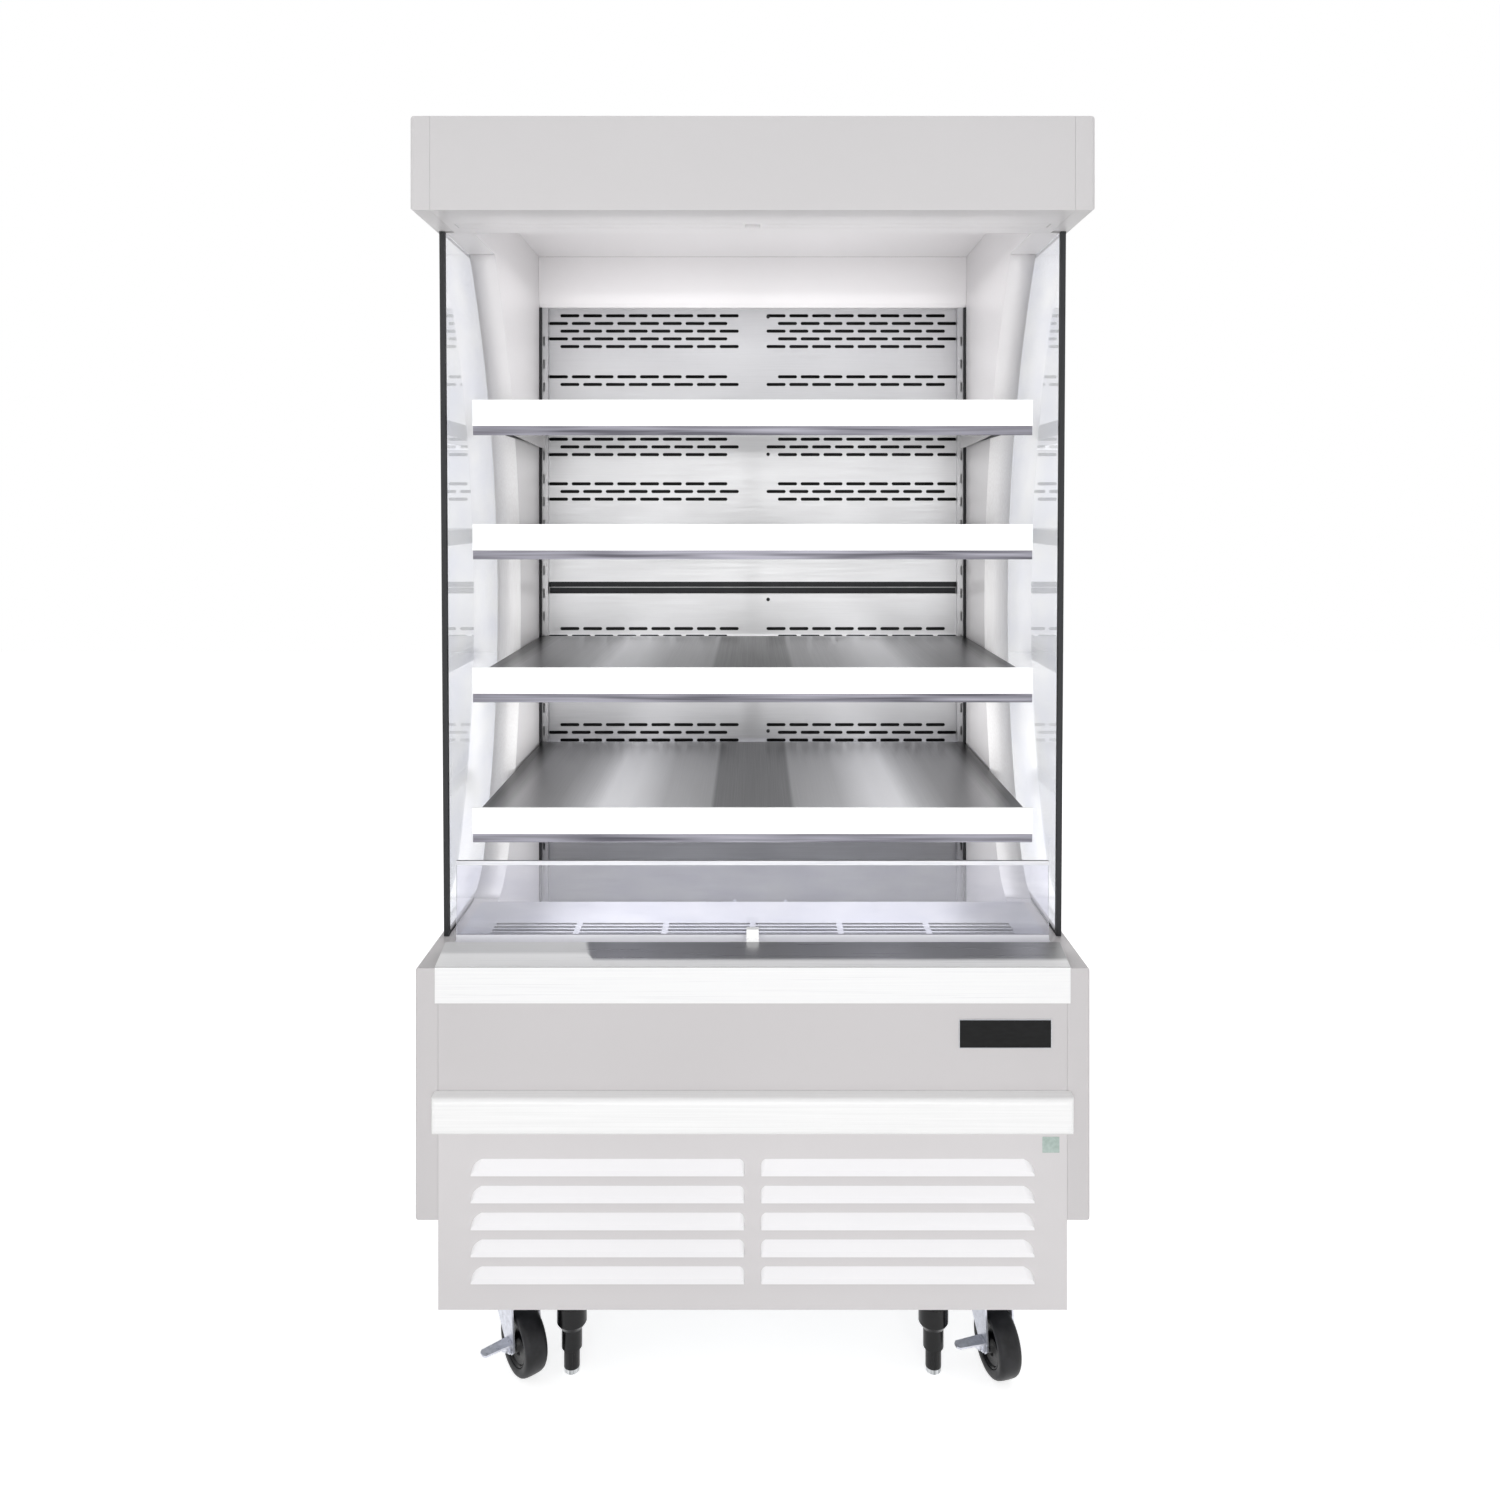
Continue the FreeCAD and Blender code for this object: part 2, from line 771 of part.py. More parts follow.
def air_honeycomb():
    """Discharge grille across the head's mouth: a slab of square cells."""
    cell = size("honeycomb_cell").value
    pitch = cell + size("honeycomb_wall").value
    half = (inner_wall - gap).value
    low = (lip_back + gap).value
    high = honeycomb_back.value
    base = (honeycomb_top - size("honeycomb_thickness")).value
    outline = Part.makePolygon([
        Vector(-half, low, base), Vector(half, low, base), Vector(half, high, base),
        Vector(-half, high, base), Vector(-half, low, base),
    ])
    across = int((2 * half - pitch) // pitch)
    deep = int((high - low - pitch / 2) // pitch)
    holes = []
    for column in range(across):
        for line in range(deep):
            x = (column - (across - 1) / 2) * pitch
            y = (low + high) / 2 + (line - (deep - 1) / 2) * pitch
            reach = cell / 2
            holes.append(Part.makePolygon([
                Vector(x - reach, y - reach, base), Vector(x + reach, y - reach, base),
                Vector(x + reach, y + reach, base), Vector(x - reach, y + reach, base),
                Vector(x - reach, y - reach, base),
            ]))
    made("air_honeycomb", pierced(outline, holes, Vector(0, 0, size("honeycomb_thickness").value)))


cover_front = duct_front - size("cover_reach")
cover_top_front = cover_front - size("cover_lean")


def ceiling_panel():
    """Lower skin of the ceiling duct, turned down in front to meet the honeycomb."""
    solid = Solid("ceiling_panel")
    panel_front = honeycomb_back + gap
    profile = polygon(
        (panel_front, honeycomb_top - size("honeycomb_thickness")),
        (panel_front + metal, honeycomb_top - size("honeycomb_thickness")),
        (panel_front + metal, ceiling - metal), (cover_top_front, ceiling - metal),
        (cover_top_front, ceiling), (panel_front, ceiling),
    )
    solid.pad("YZ_Plane", profile, gap - inner_wall, inner_wall - gap)
    solid.keep()


def upper_back_cover():
    """Gently curved cover from the ceiling down over the top of the rear panel."""
    low = (ceiling - size("cover_drop")).value
    high = (ceiling - metal - gap).value
    front_low = cover_front.value
    front_high = cover_top_front.value
    thick = metal.value
    rear = (duct_front - gap).value
    middle = (low + high) / 2
    bulge = (front_low + front_high) / 2 - size("cover_lean").value / 2
    turn = size("cover_lean").value
    outer = Part.Arc(
        Vector(0, front_low, low + turn), Vector(0, bulge, middle), Vector(0, front_high, high)
    ).toShape()
    inner = Part.Arc(
        Vector(0, front_high + thick, high), Vector(0, bulge + thick, middle),
        Vector(0, front_low + thick, low + turn)
    ).toShape()
    path = [
        Vector(0, front_low + thick, low + turn), Vector(0, front_low + turn, low + thick),
        Vector(0, rear, low + thick), Vector(0, rear, low), Vector(0, front_low + turn / 2, low),
        Vector(0, front_low, low + turn),
    ]
    flange = [Part.LineSegment(a, b).toShape() for a, b in zip(path, path[1:])]
    closing = Part.LineSegment(Vector(0, front_high, high), Vector(0, front_high + thick, high)).toShape()
    face = Part.Face(Part.Wire([outer, closing, inner] + flange))
    half = (inner_wall - gap).value
    shape = face.extrude(Vector(2 * half, 0, 0))
    shape.translate(Vector(-half, 0, 0))
    made("upper_back_cover", shape)


# ---------------------------------------------------------------- rear panels and uprights


def slot_rows(first_height, count, shift_first):
    """Slots of a few rows in brick bond, left and right of the middle, as wires."""
    pitch = size("slot_pitch").value
    slot_long = size("slot_length").value
    slot_high = size("slot_height").value
    inner = size("slot_group_gap").value / 2 + slot_long / 2
    # as many columns as the panel's half holds, with the shifted rows inside its margin too
    outer = (inner_wall - gap).value - size("slot_edge_margin").value - slot_long / 2 - pitch / 2
    columns = int((outer - inner) // pitch) + 1
    wires = []
    for line in range(count):
        z = first_height - line * size("slot_row_pitch").value
        shifted = (line + shift_first) % 2
        for side in (-1, 1):
            # every other row stands half a pitch further out
            offset = pitch / 2 if shifted else 0.0
            for column in range(columns):
                x = side * (inner + offset + column * pitch)
                wires.append(slot_wire(x, z, duct_front.value, slot_long, slot_high))
    return wires


def plate_wire(x0, x1, z0, z1, y):
    """A rectangle in a plane that faces along Y."""
    corners = [Vector(x0, y, z0), Vector(x1, y, z0), Vector(x1, y, z1), Vector(x0, y, z1), Vector(x0, y, z0)]
    return Part.makePolygon(corners)


def rear_panels():
    """Upper and lower perforated panels with a dark joint between them."""
    half = (inner_wall - gap).value
    y = duct_front.value
    thick = metal.value
    split = size("panel_split_height").value
    panel_top = (ceiling - metal - gap).value
    rows_upper = []
    for alias, count, shift in (
        ("vent_share_1", 5, 0), ("vent_share_2", 2, 1), ("vent_share_3", 3, 1), ("vent_share_4", 3, 1),
    ):
        rows_upper += slot_rows(split + (panel_top - split) * size(alias).value, count, shift)
    outline = plate_wire(-half, half, split, panel_top, y)
    upper = pierced(outline, rows_upper, Vector(0, thick, 0))
    made("rear_panel_upper", upper)

    lower_top = split - size("panel_split_gap").value
    lower_base = (size("pan_height") + metal + gap).value
    rows_lower = slot_rows(split - size("lower_vents_1").value, 2, 0)
    rows_lower += slot_rows(split - size("lower_vents_2").value, 3, 0)
    outline = plate_wire(-half, half, lower_base, lower_top, y)
    lower = pierced(outline, rows_lower, Vector(0, thick, 0))
    hem = size("panel_hem").value
    flange = box_shape(-half, half, y, y + hem, lower_top - thick, lower_top)
    edge = box_shape(-half, half, y + hem - thick, y + hem, lower_top - thick, lower_top + hem)
    made("rear_panel_lower", lower.fuse([flange, edge]).removeSplitter())


upright_back = duct_front - gap
upright_front = upright_back - size("upright_depth")
upright_out = inner_wall - gap - 1
upright_in = upright_out - size("upright_width")


def shelf_uprights():
    """Two slotted channels in front of the rear panels, open to the back."""
    low = (size("pan_height") + metal + gap).value
    high = (ceiling - size("cover_drop") - gap).value
    middle = ((upright_in + upright_out) / 2).value
    solids = []
    for side in (-1, 1):
        x0, x1 = sorted((side * upright_in.value, side * upright_out.value))
        channel = box_shape(x0, x1, upright_front, upright_back, low, high)
        thick = metal.value
        hollow = box_shape(
            x0 + thick, x1 - thick, upright_front + metal, upright_back + 1, low - 1, high + 1
        )
        slots = []
        count = int((high - low - 40) // size("upright_slot_pitch").value)
        for step in range(count):
            z = low + 30 + step * size("upright_slot_pitch").value
            x = side * middle
            slots.append(box_shape(x - 2, x + 2, upright_front - 1, upright_front + metal + 1, z, z + 20))
        solids.append(channel.cut(Part.makeCompound([hollow] + slots)))
    made("shelf_uprights", Part.makeCompound(solids))


# ---------------------------------------------------------------- shelves

SHELF_NUMBERS = (1, 2, 3, 4)
shelf_front = front + size("shelf_setback") + size("price_rail_depth")
shelf_back = upright_front - 3


def shelf(number):
    """Folded steel shelf: top, side flanges and a deeper front lip."""
    plate_top = size("shelf_height_%d" % number)
    solid = Solid("shelf_%d" % number)
    half = half_width - size("shelf_inset")
    fold = shelf_front + gap
    low = plate_top - size("shelf_side_drop")
    solid.pad("XY_Plane", rectangle(-half, half, fold, shelf_back), low, plate_top)
    inside = rectangle(metal - half, half - metal, fold + metal, shelf_back + 1)
    solid.pocket("XY_Plane", inside, low - 1, plate_top - metal)
    lip_half = half + size("shelf_lip_overhang")
    lip = rectangle(-lip_half, lip_half, plate_top - size("shelf_lip_drop"), low + 1)
    solid.pad("XZ_Plane", lip, fold, fold + metal)
    solid.keep()


def price_rail(number):
    """Flat ticket rail with a rolled upper and lower edge, clipped to the shelf's front."""
    plate_top = size("shelf_height_%d" % number)
    solid = Solid("price_rail_%d" % number)
    half = half_width - size("price_rail_inset")
    high = plate_top + size("price_rail_rise")
    low = high - size("price_rail_height")
    outer = shelf_front - size("price_rail_depth")
    bead = size("price_rail_depth")
    profile = polygon(
        (outer, low), (shelf_front, low), (shelf_front, high), (outer, high), (outer, high - bead),
        (outer + metal, high - bead), (outer + metal, low + bead), (outer, low + bead),
    )
    solid.pad("YZ_Plane", profile, -half, half)
    solid.keep()


def shelf_brackets():
    """Cantilever arms under each shelf, one at each side, butting on the uprights."""
    thick = size("bracket_thickness").value
    middle = ((upright_in + upright_out) / 2).value
    rear = (upright_front - gap).value
    tip = rear - size("bracket_reach").value
    solids = []
    for number in SHELF_NUMBERS:
        high = (size("shelf_height_%d" % number) - metal - gap).value
        root = high - size("bracket_root").value
        nose = high - size("bracket_tip").value
        for side in (-1, 1):
            x = side * middle - thick / 2
            outline = Part.makePolygon([
                Vector(x, rear, high), Vector(x, rear, root), Vector(x, rear - 60, root),
                Vector(x, tip, nose), Vector(x, tip, high), Vector(x, rear, high),
            ])
            solids.append(Part.Face(outline).extrude(Vector(thick, 0, 0)))
    made("shelf_brackets", Part.makeCompound(solids))


# ---------------------------------------------------------------- deck

pan_front = front + size("pan_front_setback")
grille_base = deck_height + size("grille_rise")
guard_y = front + size("guard_setback")


def deck_pan():
    """Bottom display pan with a tall front and a low rear upstand."""
    solid = Solid("deck_pan")
    base = size("pan_height")
    rear = upright_front - gap
    profile = polygon(
        (pan_front, base), (rear, base), (rear, base + 10), (rear - metal, base + 10),
        (rear - metal, base + metal), (pan_front + metal, base + metal),
        (pan_front + metal, grille_base - gap), (pan_front, grille_base - gap),
    )
    solid.pad("YZ_Plane", profile, gap - inner_wall, inner_wall - gap)
    solid.keep()


def return_grille():
    """Slotted air-return cover between the pan and the deck rail, with a channel for the guard."""
    half = (half_width - size("grille_inset")).value
    low = (rail_back + gap + metal + gap).value
    high = (pan_front - gap).value
    thick = metal.value
    base = grille_base.value
    outline = Part.makePolygon([
        Vector(-half, low, base), Vector(half, low, base), Vector(half, high, base),
        Vector(-half, high, base), Vector(-half, low, base),
    ])
    guard_low = guard_y.value
    guard_high = guard_low + size("guard_thickness").value
    rows = 5
    columns = 6
    clear_half = (inner_wall - 20).value
    first = guard_high + 16
    pitch = 15
    slot_wide = 8
    length_x = 2 * clear_half / columns - 10
    holes = []
    for column in range(columns):
        x = (column - (columns - 1) / 2) * 2 * clear_half / columns
        for line in range(rows):
            y = first + line * pitch
            a = x - length_x / 2
            b = x + length_x / 2
            holes.append(Part.makePolygon([
                Vector(a, y, base), Vector(b, y, base), Vector(b, y + slot_wide, base),
                Vector(a, y + slot_wide, base), Vector(a, y, base),
            ]))
    plate = pierced(outline, holes, Vector(0, 0, thick))
    foot = (size("foot_height") + gap).value
    wall_front_edge = (front + size("foot_setback")).value
    extras = []
    for side in (-1, 1):
        x0, x1 = sorted((side * half, side * (half - thick)))
        extras.append(box_shape(x0, x1, low, wall_front_edge, foot, base + thick))
    rib_half = (half_width - size("guard_inset")).value
    rib_top = base + thick + size("guard_channel").value
    lip_low = guard_low - gap.value
    lip_high = guard_high + gap.value
    for a, b in ((lip_low - thick, lip_low), (lip_high, lip_high + thick)):
        extras.append(box_shape(-rib_half, rib_half, a, b, base, rib_top))
    made("return_grille", plate.fuse(extras).removeSplitter())


def breath_guard():
    """Clear sheet standing in the grille's channel."""
    half = half_width - size("guard_inset")
    base = grille_base + metal + gap
    box = block(
        "breath_guard", -half, half, guard_y, guard_y + size("guard_thickness"),
        base, base + size("guard_height")
    )
    keep("breath_guard", box)


def deck_rail():
    """Rail over the tub's front wall: flat face, sloped top and a rear flange."""
    solid = Solid("deck_rail")
    face = body_front - size("rail_proud")
    low = size("rail_bottom")
    crest = rail_top + size("rail_rise")
    flange_low = size("tub_lip_height") - 15
    profile = polygon(
        (face, low), (face + metal, low), (face + metal, rail_top - metal),
        (rail_back - metal, crest - metal), (rail_back - metal, flange_low), (rail_back, flange_low),
        (rail_back, crest), (face, rail_top),
    )
    half = half_width - size("rail_inset")
    solid.pad("YZ_Plane", profile, -half, half)
    inner = half + 1
    notch = rectangle(base_half - gap, inner, flange_low - 1, deck_height + gap)
    cut = solid.pocket("XZ_Plane", notch, panel_inside, rail_back + 1)
    solid.mirror([cut])
    solid.keep()


# ---------------------------------------------------------------- lower body


def end_panel(name, side):
    """Outer side panel of the lower body: an open pan with a rounded top front corner."""
    solid = Solid(name)
    low, high = (base_half, half_width) if side > 0 else (-half_width, -base_half)
    solid.pad("YZ_Plane", rectangle(body_front, back, size("end_panel_bottom"), deck_height), low, high)

    def outer_front(edge, centre):
        at_side = abs(abs(centre.x) - half_width.value) < 0.01
        vertical_front = abs(centre.y - body_front.value) < 0.01 and at_side
        top_side = abs(centre.z - deck_height.value) < 0.01 and at_side
        low_side = abs(centre.z - size("end_panel_bottom").value) < 0.01 and at_side
        return vertical_front or top_side or low_side

    solid.round(size("end_panel_corner") / 2, outer_front)
    skin = cap_skin
    if side > 0:
        skin_low, skin_high = base_half - 1, half_width - skin
    else:
        skin_low, skin_high = skin - half_width, 1 - base_half
    hollow = rectangle(
        body_front + skin, back - skin, size("end_panel_bottom") + skin, deck_height - skin
    )
    solid.pocket("YZ_Plane", hollow, skin_low, skin_high)
    solid.keep()


def front_panel():
    """Plain pan between the bumper and the deck rail."""
    solid = Solid("front_panel")
    half = base_half - gap
    low = bumper_top + gap
    high = size("rail_bottom") - gap
    depth = size("end_panel_corner")
    solid.pad("XZ_Plane", rectangle(-half, half, low, high), body_front, body_front + metal + depth - gap)
    hollow = rectangle(metal - half, half - metal, low + metal, high - metal)
    solid.pocket("XZ_Plane", hollow, body_front + metal, body_front + metal + depth + 1)
    solid.keep()


def bumper_rail():
    """Hollow bumper moulding, rounded in front."""
    solid = Solid("bumper_rail")
    half = half_width - size("bumper_inset")
    outer = body_front - size("bumper_depth")
    rear = body_front - gap
    solid.pad("YZ_Plane", rectangle(outer, rear, bumper_bottom, bumper_top), -half, half)

    def front_edge(edge, centre):
        return abs(centre.y - outer.value) < 0.01

    solid.round(size("end_panel_corner") * 0.8, front_edge)
    wall = metal * 2
    hollow = rectangle(outer + wall, rear + 1, bumper_bottom + wall, bumper_top - wall)
    solid.pocket("YZ_Plane", hollow, wall - half, half - wall)
    inner_plate = rectangle(metal - base_half, base_half - metal, bumper_bottom, bumper_top)
    solid.pad("XZ_Plane", inner_plate, body_front - wall, panel_inside)
    solid.keep()


def bent_edge(start, corner, end):
    """Edge that leaves one straight run and eases into the next."""
    curve = Part.BezierCurve()
    curve.setPoles([start, corner, end])
    return curve.toShape()


def louvre_outline(left, right, low, high, left_bend, right_bend, y_at):
    """Flat-bottomed outline of a hood; each bend is how far its top corner runs along and down."""
    a = Vector(left, y_at, low)
    b = Vector(left, y_at, high - left_bend[1])
    c = Vector(left + left_bend[0], y_at, high)
    d = Vector(right - right_bend[0], y_at, high)
    e = Vector(right, y_at, high - right_bend[1])
    f = Vector(right, y_at, low)
    left_corner = Vector(left + left_bend[0] * 0.12, y_at, high - left_bend[1] * 0.3)
    right_corner = Vector(right - right_bend[0] * 0.12, y_at, high - right_bend[1] * 0.3)
    return Part.Wire([
        Part.LineSegment(a, b).toShape(),
        bent_edge(b, left_corner, c),
        Part.LineSegment(c, d).toShape(),
        bent_edge(d, right_corner, e),
        Part.LineSegment(e, f).toShape(),
        Part.LineSegment(f, a).toShape(),
    ])


def louvre_hood(x0, x1, z_low, z_high, outer_bend, reach, y, outer_side):
    """Pressed hood: lofts from its outline on the sheet to a low mouth that stands out in front."""
    inner_bend = (outer_bend[0] * 0.45, outer_bend[1] * 0.5)
    bends = (outer_bend, inner_bend) if outer_side < 0 else (inner_bend, outer_bend)
    on_sheet = louvre_outline(x0, x1, z_low, z_high, bends[0], bends[1], y)
    inset = reach * 0.15
    tall = z_high - z_low
    mouth_bends = [(bend[0] * 0.6, bend[1] * 0.3) for bend in bends]
    mouth = louvre_outline(
        x0 + inset, x1 - inset, z_low, z_low + tall * 0.35, mouth_bends[0], mouth_bends[1], y - reach
    )
    return Part.makeLoft([on_sheet, mouth], True, True)


def louvre_panel():
    """Front cover of the machine compartment with two columns of pressed louvres."""
    half = (base_half - gap).value
    y = body_front.value
    thick = metal.value
    low = size("panel_bottom").value
    high = (bumper_bottom - gap).value
    panel = box_shape(-half, half, y, y + thick, low, high)
    hoods = []
    hollows = []
    bend = (size("louvre_bend_width").value, size("louvre_bend_height").value)
    inner_bend = (bend[0] - thick, bend[1] - thick)
    for line in range(int(size("louvre_count").value)):
        z_high = size("louvre_top").value - line * size("louvre_pitch").value
        z_low = z_high - size("louvre_height").value
        for side in (-1, 1):
            inner = size("louvre_middle_gap").value / 2
            outer = (half_width - size("louvre_inset")).value
            x0, x1 = sorted((side * inner, side * outer))
            reach = size("louvre_reach").value
            hoods.append(louvre_hood(x0, x1, z_low, z_high, bend, reach, y, side))
            hollows.append(louvre_hood(
                x0 + thick, x1 - thick, z_low - 0.5, z_high - thick, inner_bend,
                reach - thick, y + thick + 0.5, side
            ))
    shape = panel.fuse(hoods).cut(Part.makeCompound(hollows)).removeSplitter()
    made("louvre_panel", shape)


# ---------------------------------------------------------------- chassis, casters and legs


def base_frame():
    """Welded chassis: tray, lower rails set back from the front, and posts up to the tub."""
    solid = Solid("base_frame")
    half = base_half - size("chassis_inset")
    frame_front = panel_inside + gap
    frame_back = back - size("chassis_inset")
    low = size("chassis_bottom")
    solid.pad("XY_Plane", rectangle(-half, half, frame_front, frame_back), size("chassis_tray"), tray_top)
    rail_front = frame_front + size("chassis_toe")
    solid.pad("XY_Plane", rectangle(-half, half, rail_front, frame_back), low, size("chassis_tray") + 1)
    width = size("chassis_rail") * 2
    for y0, y1 in ((rail_front + width, -width / 2), (width / 2, frame_back - width)):
        well = several(
            rectangle(width + width / 4 - half, -width / 4, y0, y1),
            rectangle(width / 4, half - width - width / 4, y0, y1),
        )
        solid.pocket("XY_Plane", well, low - 1, tray_top - metal * 2)
    post = size("post_size")
    posts = several(*[
        rectangle(x0, x1, y0, y1)
        for x0, x1 in ((-half, post - half), (half - post, half))
        for y0, y1 in ((frame_front, frame_front + post), (frame_back - post * 2, frame_back - post))
    ])
    solid.pad("XY_Plane", posts, tray_top - 1, size("tub_bottom") - gap)
    skirt = rectangle(half - metal, half, frame_front, frame_back)
    solid.mirror([solid.pad("XY_Plane", skirt, tray_top - 1, size("tub_bottom") - gap)])
    solid.keep()


def rear_service_panel():
    """Slotted cover over the back of the machine compartment, with a hole for the power inlet."""
    half = (base_half - size("chassis_inset")).value
    y = (back - size("chassis_inset") + gap).value
    low = tray_top.value
    high = (size("tub_bottom") - gap).value
    holes = []
    long = size("slot_length").value
    high_slot = size("slot_height").value
    pitch = size("slot_pitch").value
    for line in range(8):
        z = low + 45 + line * size("slot_row_pitch").value * 1.2
        for column in range(11):
            holes.append(slot_wire((column - 2) * pitch, z, y, long, high_slot))
    inlet_place = Vector(gland_x.value, y, gland_z.value)
    inlet = Part.Circle(inlet_place, Vector(0, 1, 0), size("gland_radius").value + 1)
    holes.append(Part.Wire([inlet.toShape()]))
    outline = plate_wire(-half, half, low, high, y)
    made("rear_service_panel", pierced(outline, holes, Vector(0, metal.value, 0)))


CORNERS = {
    "front_left": (-1, -1),
    "front_right": (1, -1),
    "rear_left": (-1, 1),
    "rear_right": (1, 1),
}
caster_top = size("chassis_bottom") - gap


def caster_turn(corner):
    """Angle at which one caster stands; the front left one is turned further than the others."""
    if corner == "front_left":
        return size("caster_turn_front_left").value
    return size("caster_turn").value


def caster_place(corner):
    """Swivel axis of one caster."""
    side, end = CORNERS[corner]
    x = (half_width - size("caster_inset")) * side
    if end < 0:
        return x, front + size("caster_setback")
    return x, back - size("caster_rear_inset")


def axle_place(corner):
    """Middle of one caster's axle, which trails behind its swivel axis."""
    x, y = caster_place(corner)
    trail = size("caster_trail")
    angle = math.radians(caster_turn(corner))
    return x + trail * math.sin(angle), y - trail * math.cos(angle)


def caster_fork(corner):
    """Swivel fork: raceway, crown, two arms and the axle bolt; it trails towards -Y before it is turned."""
    solid = Solid("caster_fork_" + corner)
    arm_in = size("wheel_width") / 2 + size("wheel_gap")
    arm_out = arm_in + size("fork_thickness")
    crown_low = caster_top - size("raceway_height") - size("fork_thickness")
    crown_top = caster_top - size("raceway_height")
    solid.pad("XY_Plane", circle(0, 0, size("raceway_radius")), crown_top - 1, caster_top)
    axle_y = -size("caster_trail")
    crown = rectangle(-arm_out, arm_out, axle_y - 6, size("raceway_radius"))
    solid.pad("XY_Plane", crown, crown_low, crown_top)
    boss = size("axle_radius") * 2.4
    axle_z = size("wheel_radius")
    arm = polygon(
        (axle_y - 6, crown_low + 1),
        (size("raceway_radius"), crown_low + 1),
        (size("raceway_radius"), crown_low - 12),
        (axle_y + boss, axle_z - boss / 2),
        (axle_y + boss / 2, axle_z - boss),
        (axle_y - boss / 2, axle_z - boss),
        (axle_y - boss, axle_z - boss / 2),
        (axle_y - boss, axle_z + boss),
    )
    arm_pad = solid.pad("YZ_Plane", arm, arm_in, arm_out)
    solid.mirror([arm_pad])
    solid.pad("YZ_Plane", circle(axle_y, axle_z, size("axle_radius")), -arm_out - 5, arm_out + 5)
    x, y = caster_place(corner)
    solid.place(x, y, 0, caster_turn(corner))
    solid.keep()


def caster_wheel(corner):
    """Wheel turned about its axle: tyre with round shoulders, dished hub and a bore."""
    solid = Solid("caster_wheel_" + corner)
    half = size("wheel_width") / 2
    radius = size("wheel_radius")
    bore = size("axle_radius") + size("bore_clearance")
    tread = half - 5
    dish = half - 6
    profile = polygon(
        (-half, bore), (half, bore), (half, bore + 9), (dish, bore + 12), (dish, radius - 16),
        (half - 1, radius - 13), (half, radius - 5), (tread, radius), (-tread, radius), (-half, radius - 5),
        (1 - half, radius - 13), (-dish, radius - 16), (-dish, bore + 12), (-half, bore + 9),
    )
    solid.turn("XY_Plane", profile, "H_Axis")
    x, y = axle_place(corner)
    solid.place(x, y, radius, caster_turn(corner))
    solid.keep()


def brake_lever(corner):
    """Side brake: a ring on the axle's left end with a flat tab that sticks out sideways."""
    solid = Solid("brake_lever_" + corner)
    arm_out = size("wheel_width") / 2 + size("wheel_gap") + size("fork_thickness")
    ring_in = -arm_out - gap
    ring_out = ring_in - size("fork_thickness")
    radius = size("axle_radius") * 2.2
    solid.pad("YZ_Plane", circle(0, 0, radius), ring_out, ring_in)
    tab_out = ring_out - size("brake_reach")
    tab = polygon(
        (ring_in, radius), (tab_out + 4, radius * 0.8), (tab_out, radius * 0.4),
        (tab_out, -radius * 0.4), (tab_out + 4, -radius * 0.8), (ring_in, -radius),
    )
    tab_low = radius * 0.55
    solid.pad("XY_Plane", tab, tab_low, tab_low + size("fork_thickness"))
    bore = circle(0, 0, size("axle_radius") + size("bore_clearance") * 2)
    solid.pocket("YZ_Plane", bore, ring_out - 8, ring_in + 1)
    x, y = axle_place(corner)
    solid.place(x, y, size("wheel_radius"), caster_turn(corner))
    solid.keep()


def leg_sleeves():
    """Black leg sleeves under the chassis: flange, bell and tube, bored for the stem."""
    bore = (size("leg_stem_radius") + size("bore_clearance")).value
    high = caster_top.value
    flange = size("leg_flange_radius").value
    bell = size("leg_bell_radius").value
    tube = size("leg_tube_radius").value
    bell_low = size("leg_bell_bottom").value
    low = size("leg_tube_bottom").value
    y = (front + size("leg_setback")).value
    solids = []
    for side in (-1, 1):
        x = side * (half_width - size("leg_inset")).value
        outline = [
            (bore, low), (tube, low), (tube, bell_low - 10), (tube + 1.5, bell_low - 9), (bell, bell_low),
            (bell, high - 14), (flange, high - 10), (flange, high), (bore, high), (bore, low),
        ]
        wire = Part.makePolygon([Vector(x + r, y, z) for r, z in outline])
        solids.append(Part.Face(wire).revolve(Vector(x, y, 0), Vector(0, 0, 1), 360))
    made("leg_sleeves", Part.makeCompound(solids))


def levelling_foot(name, side):
    """Screw stem with a bright foot at its end."""
    solid = Solid(name)
    low = size("leg_ground_gap")
    foot_top = low + size("leg_foot_height")
    stem = size("leg_stem_radius")
    foot = size("leg_foot_radius")
    stem_top = caster_top - 32
    profile = polygon(
        (0, low), (foot - 1.5, low), (foot, low + 1.5), (foot, foot_top),
        (stem, foot_top), (stem, stem_top), (0, stem_top)
    )
    solid.turn("XZ_Plane", profile, "V_Axis")
    solid.place((half_width - size("leg_inset")) * side, front + size("leg_setback"), 0)
    solid.keep()


# ---------------------------------------------------------------- refrigeration


def finned_coil(name, x0, x1, y0, y1, z0, z1, tubes):
    """Fin block between two end plates, with tube rows that show at the ends."""
    low_x, high_x = length(x0).value, length(x1).value
    low_y, high_y = length(y0).value, length(y1).value
    low_z, high_z = length(z0).value, length(z1).value
    pitch = size("coil_fin_pitch").value
    ends = [box_shape(low_x, low_x + 2, y0, y1, z0, z1), box_shape(high_x - 2, high_x, y0, y1, z0, z1)]
    count = int((high_x - low_x - 12) // pitch)
    fins = []
    for step in range(count):
        x = (low_x + high_x) / 2 + (step - (count - 1) / 2) * pitch
        corner = Vector(x - pitch / 6, low_y, low_z)
        fins.append(Part.makeBox(pitch / 3, high_y - low_y, high_z - low_z, corner))
    rows = []
    for across, up in tubes:
        y = low_y + (high_y - low_y) * across
        z = low_z + (high_z - low_z) * up
        rows.append(round_shape(5, Vector(low_x - 6, y, z), Vector(high_x + 6, y, z)))
    made(name, rows[0].fuse(rows[1:] + ends + fins))


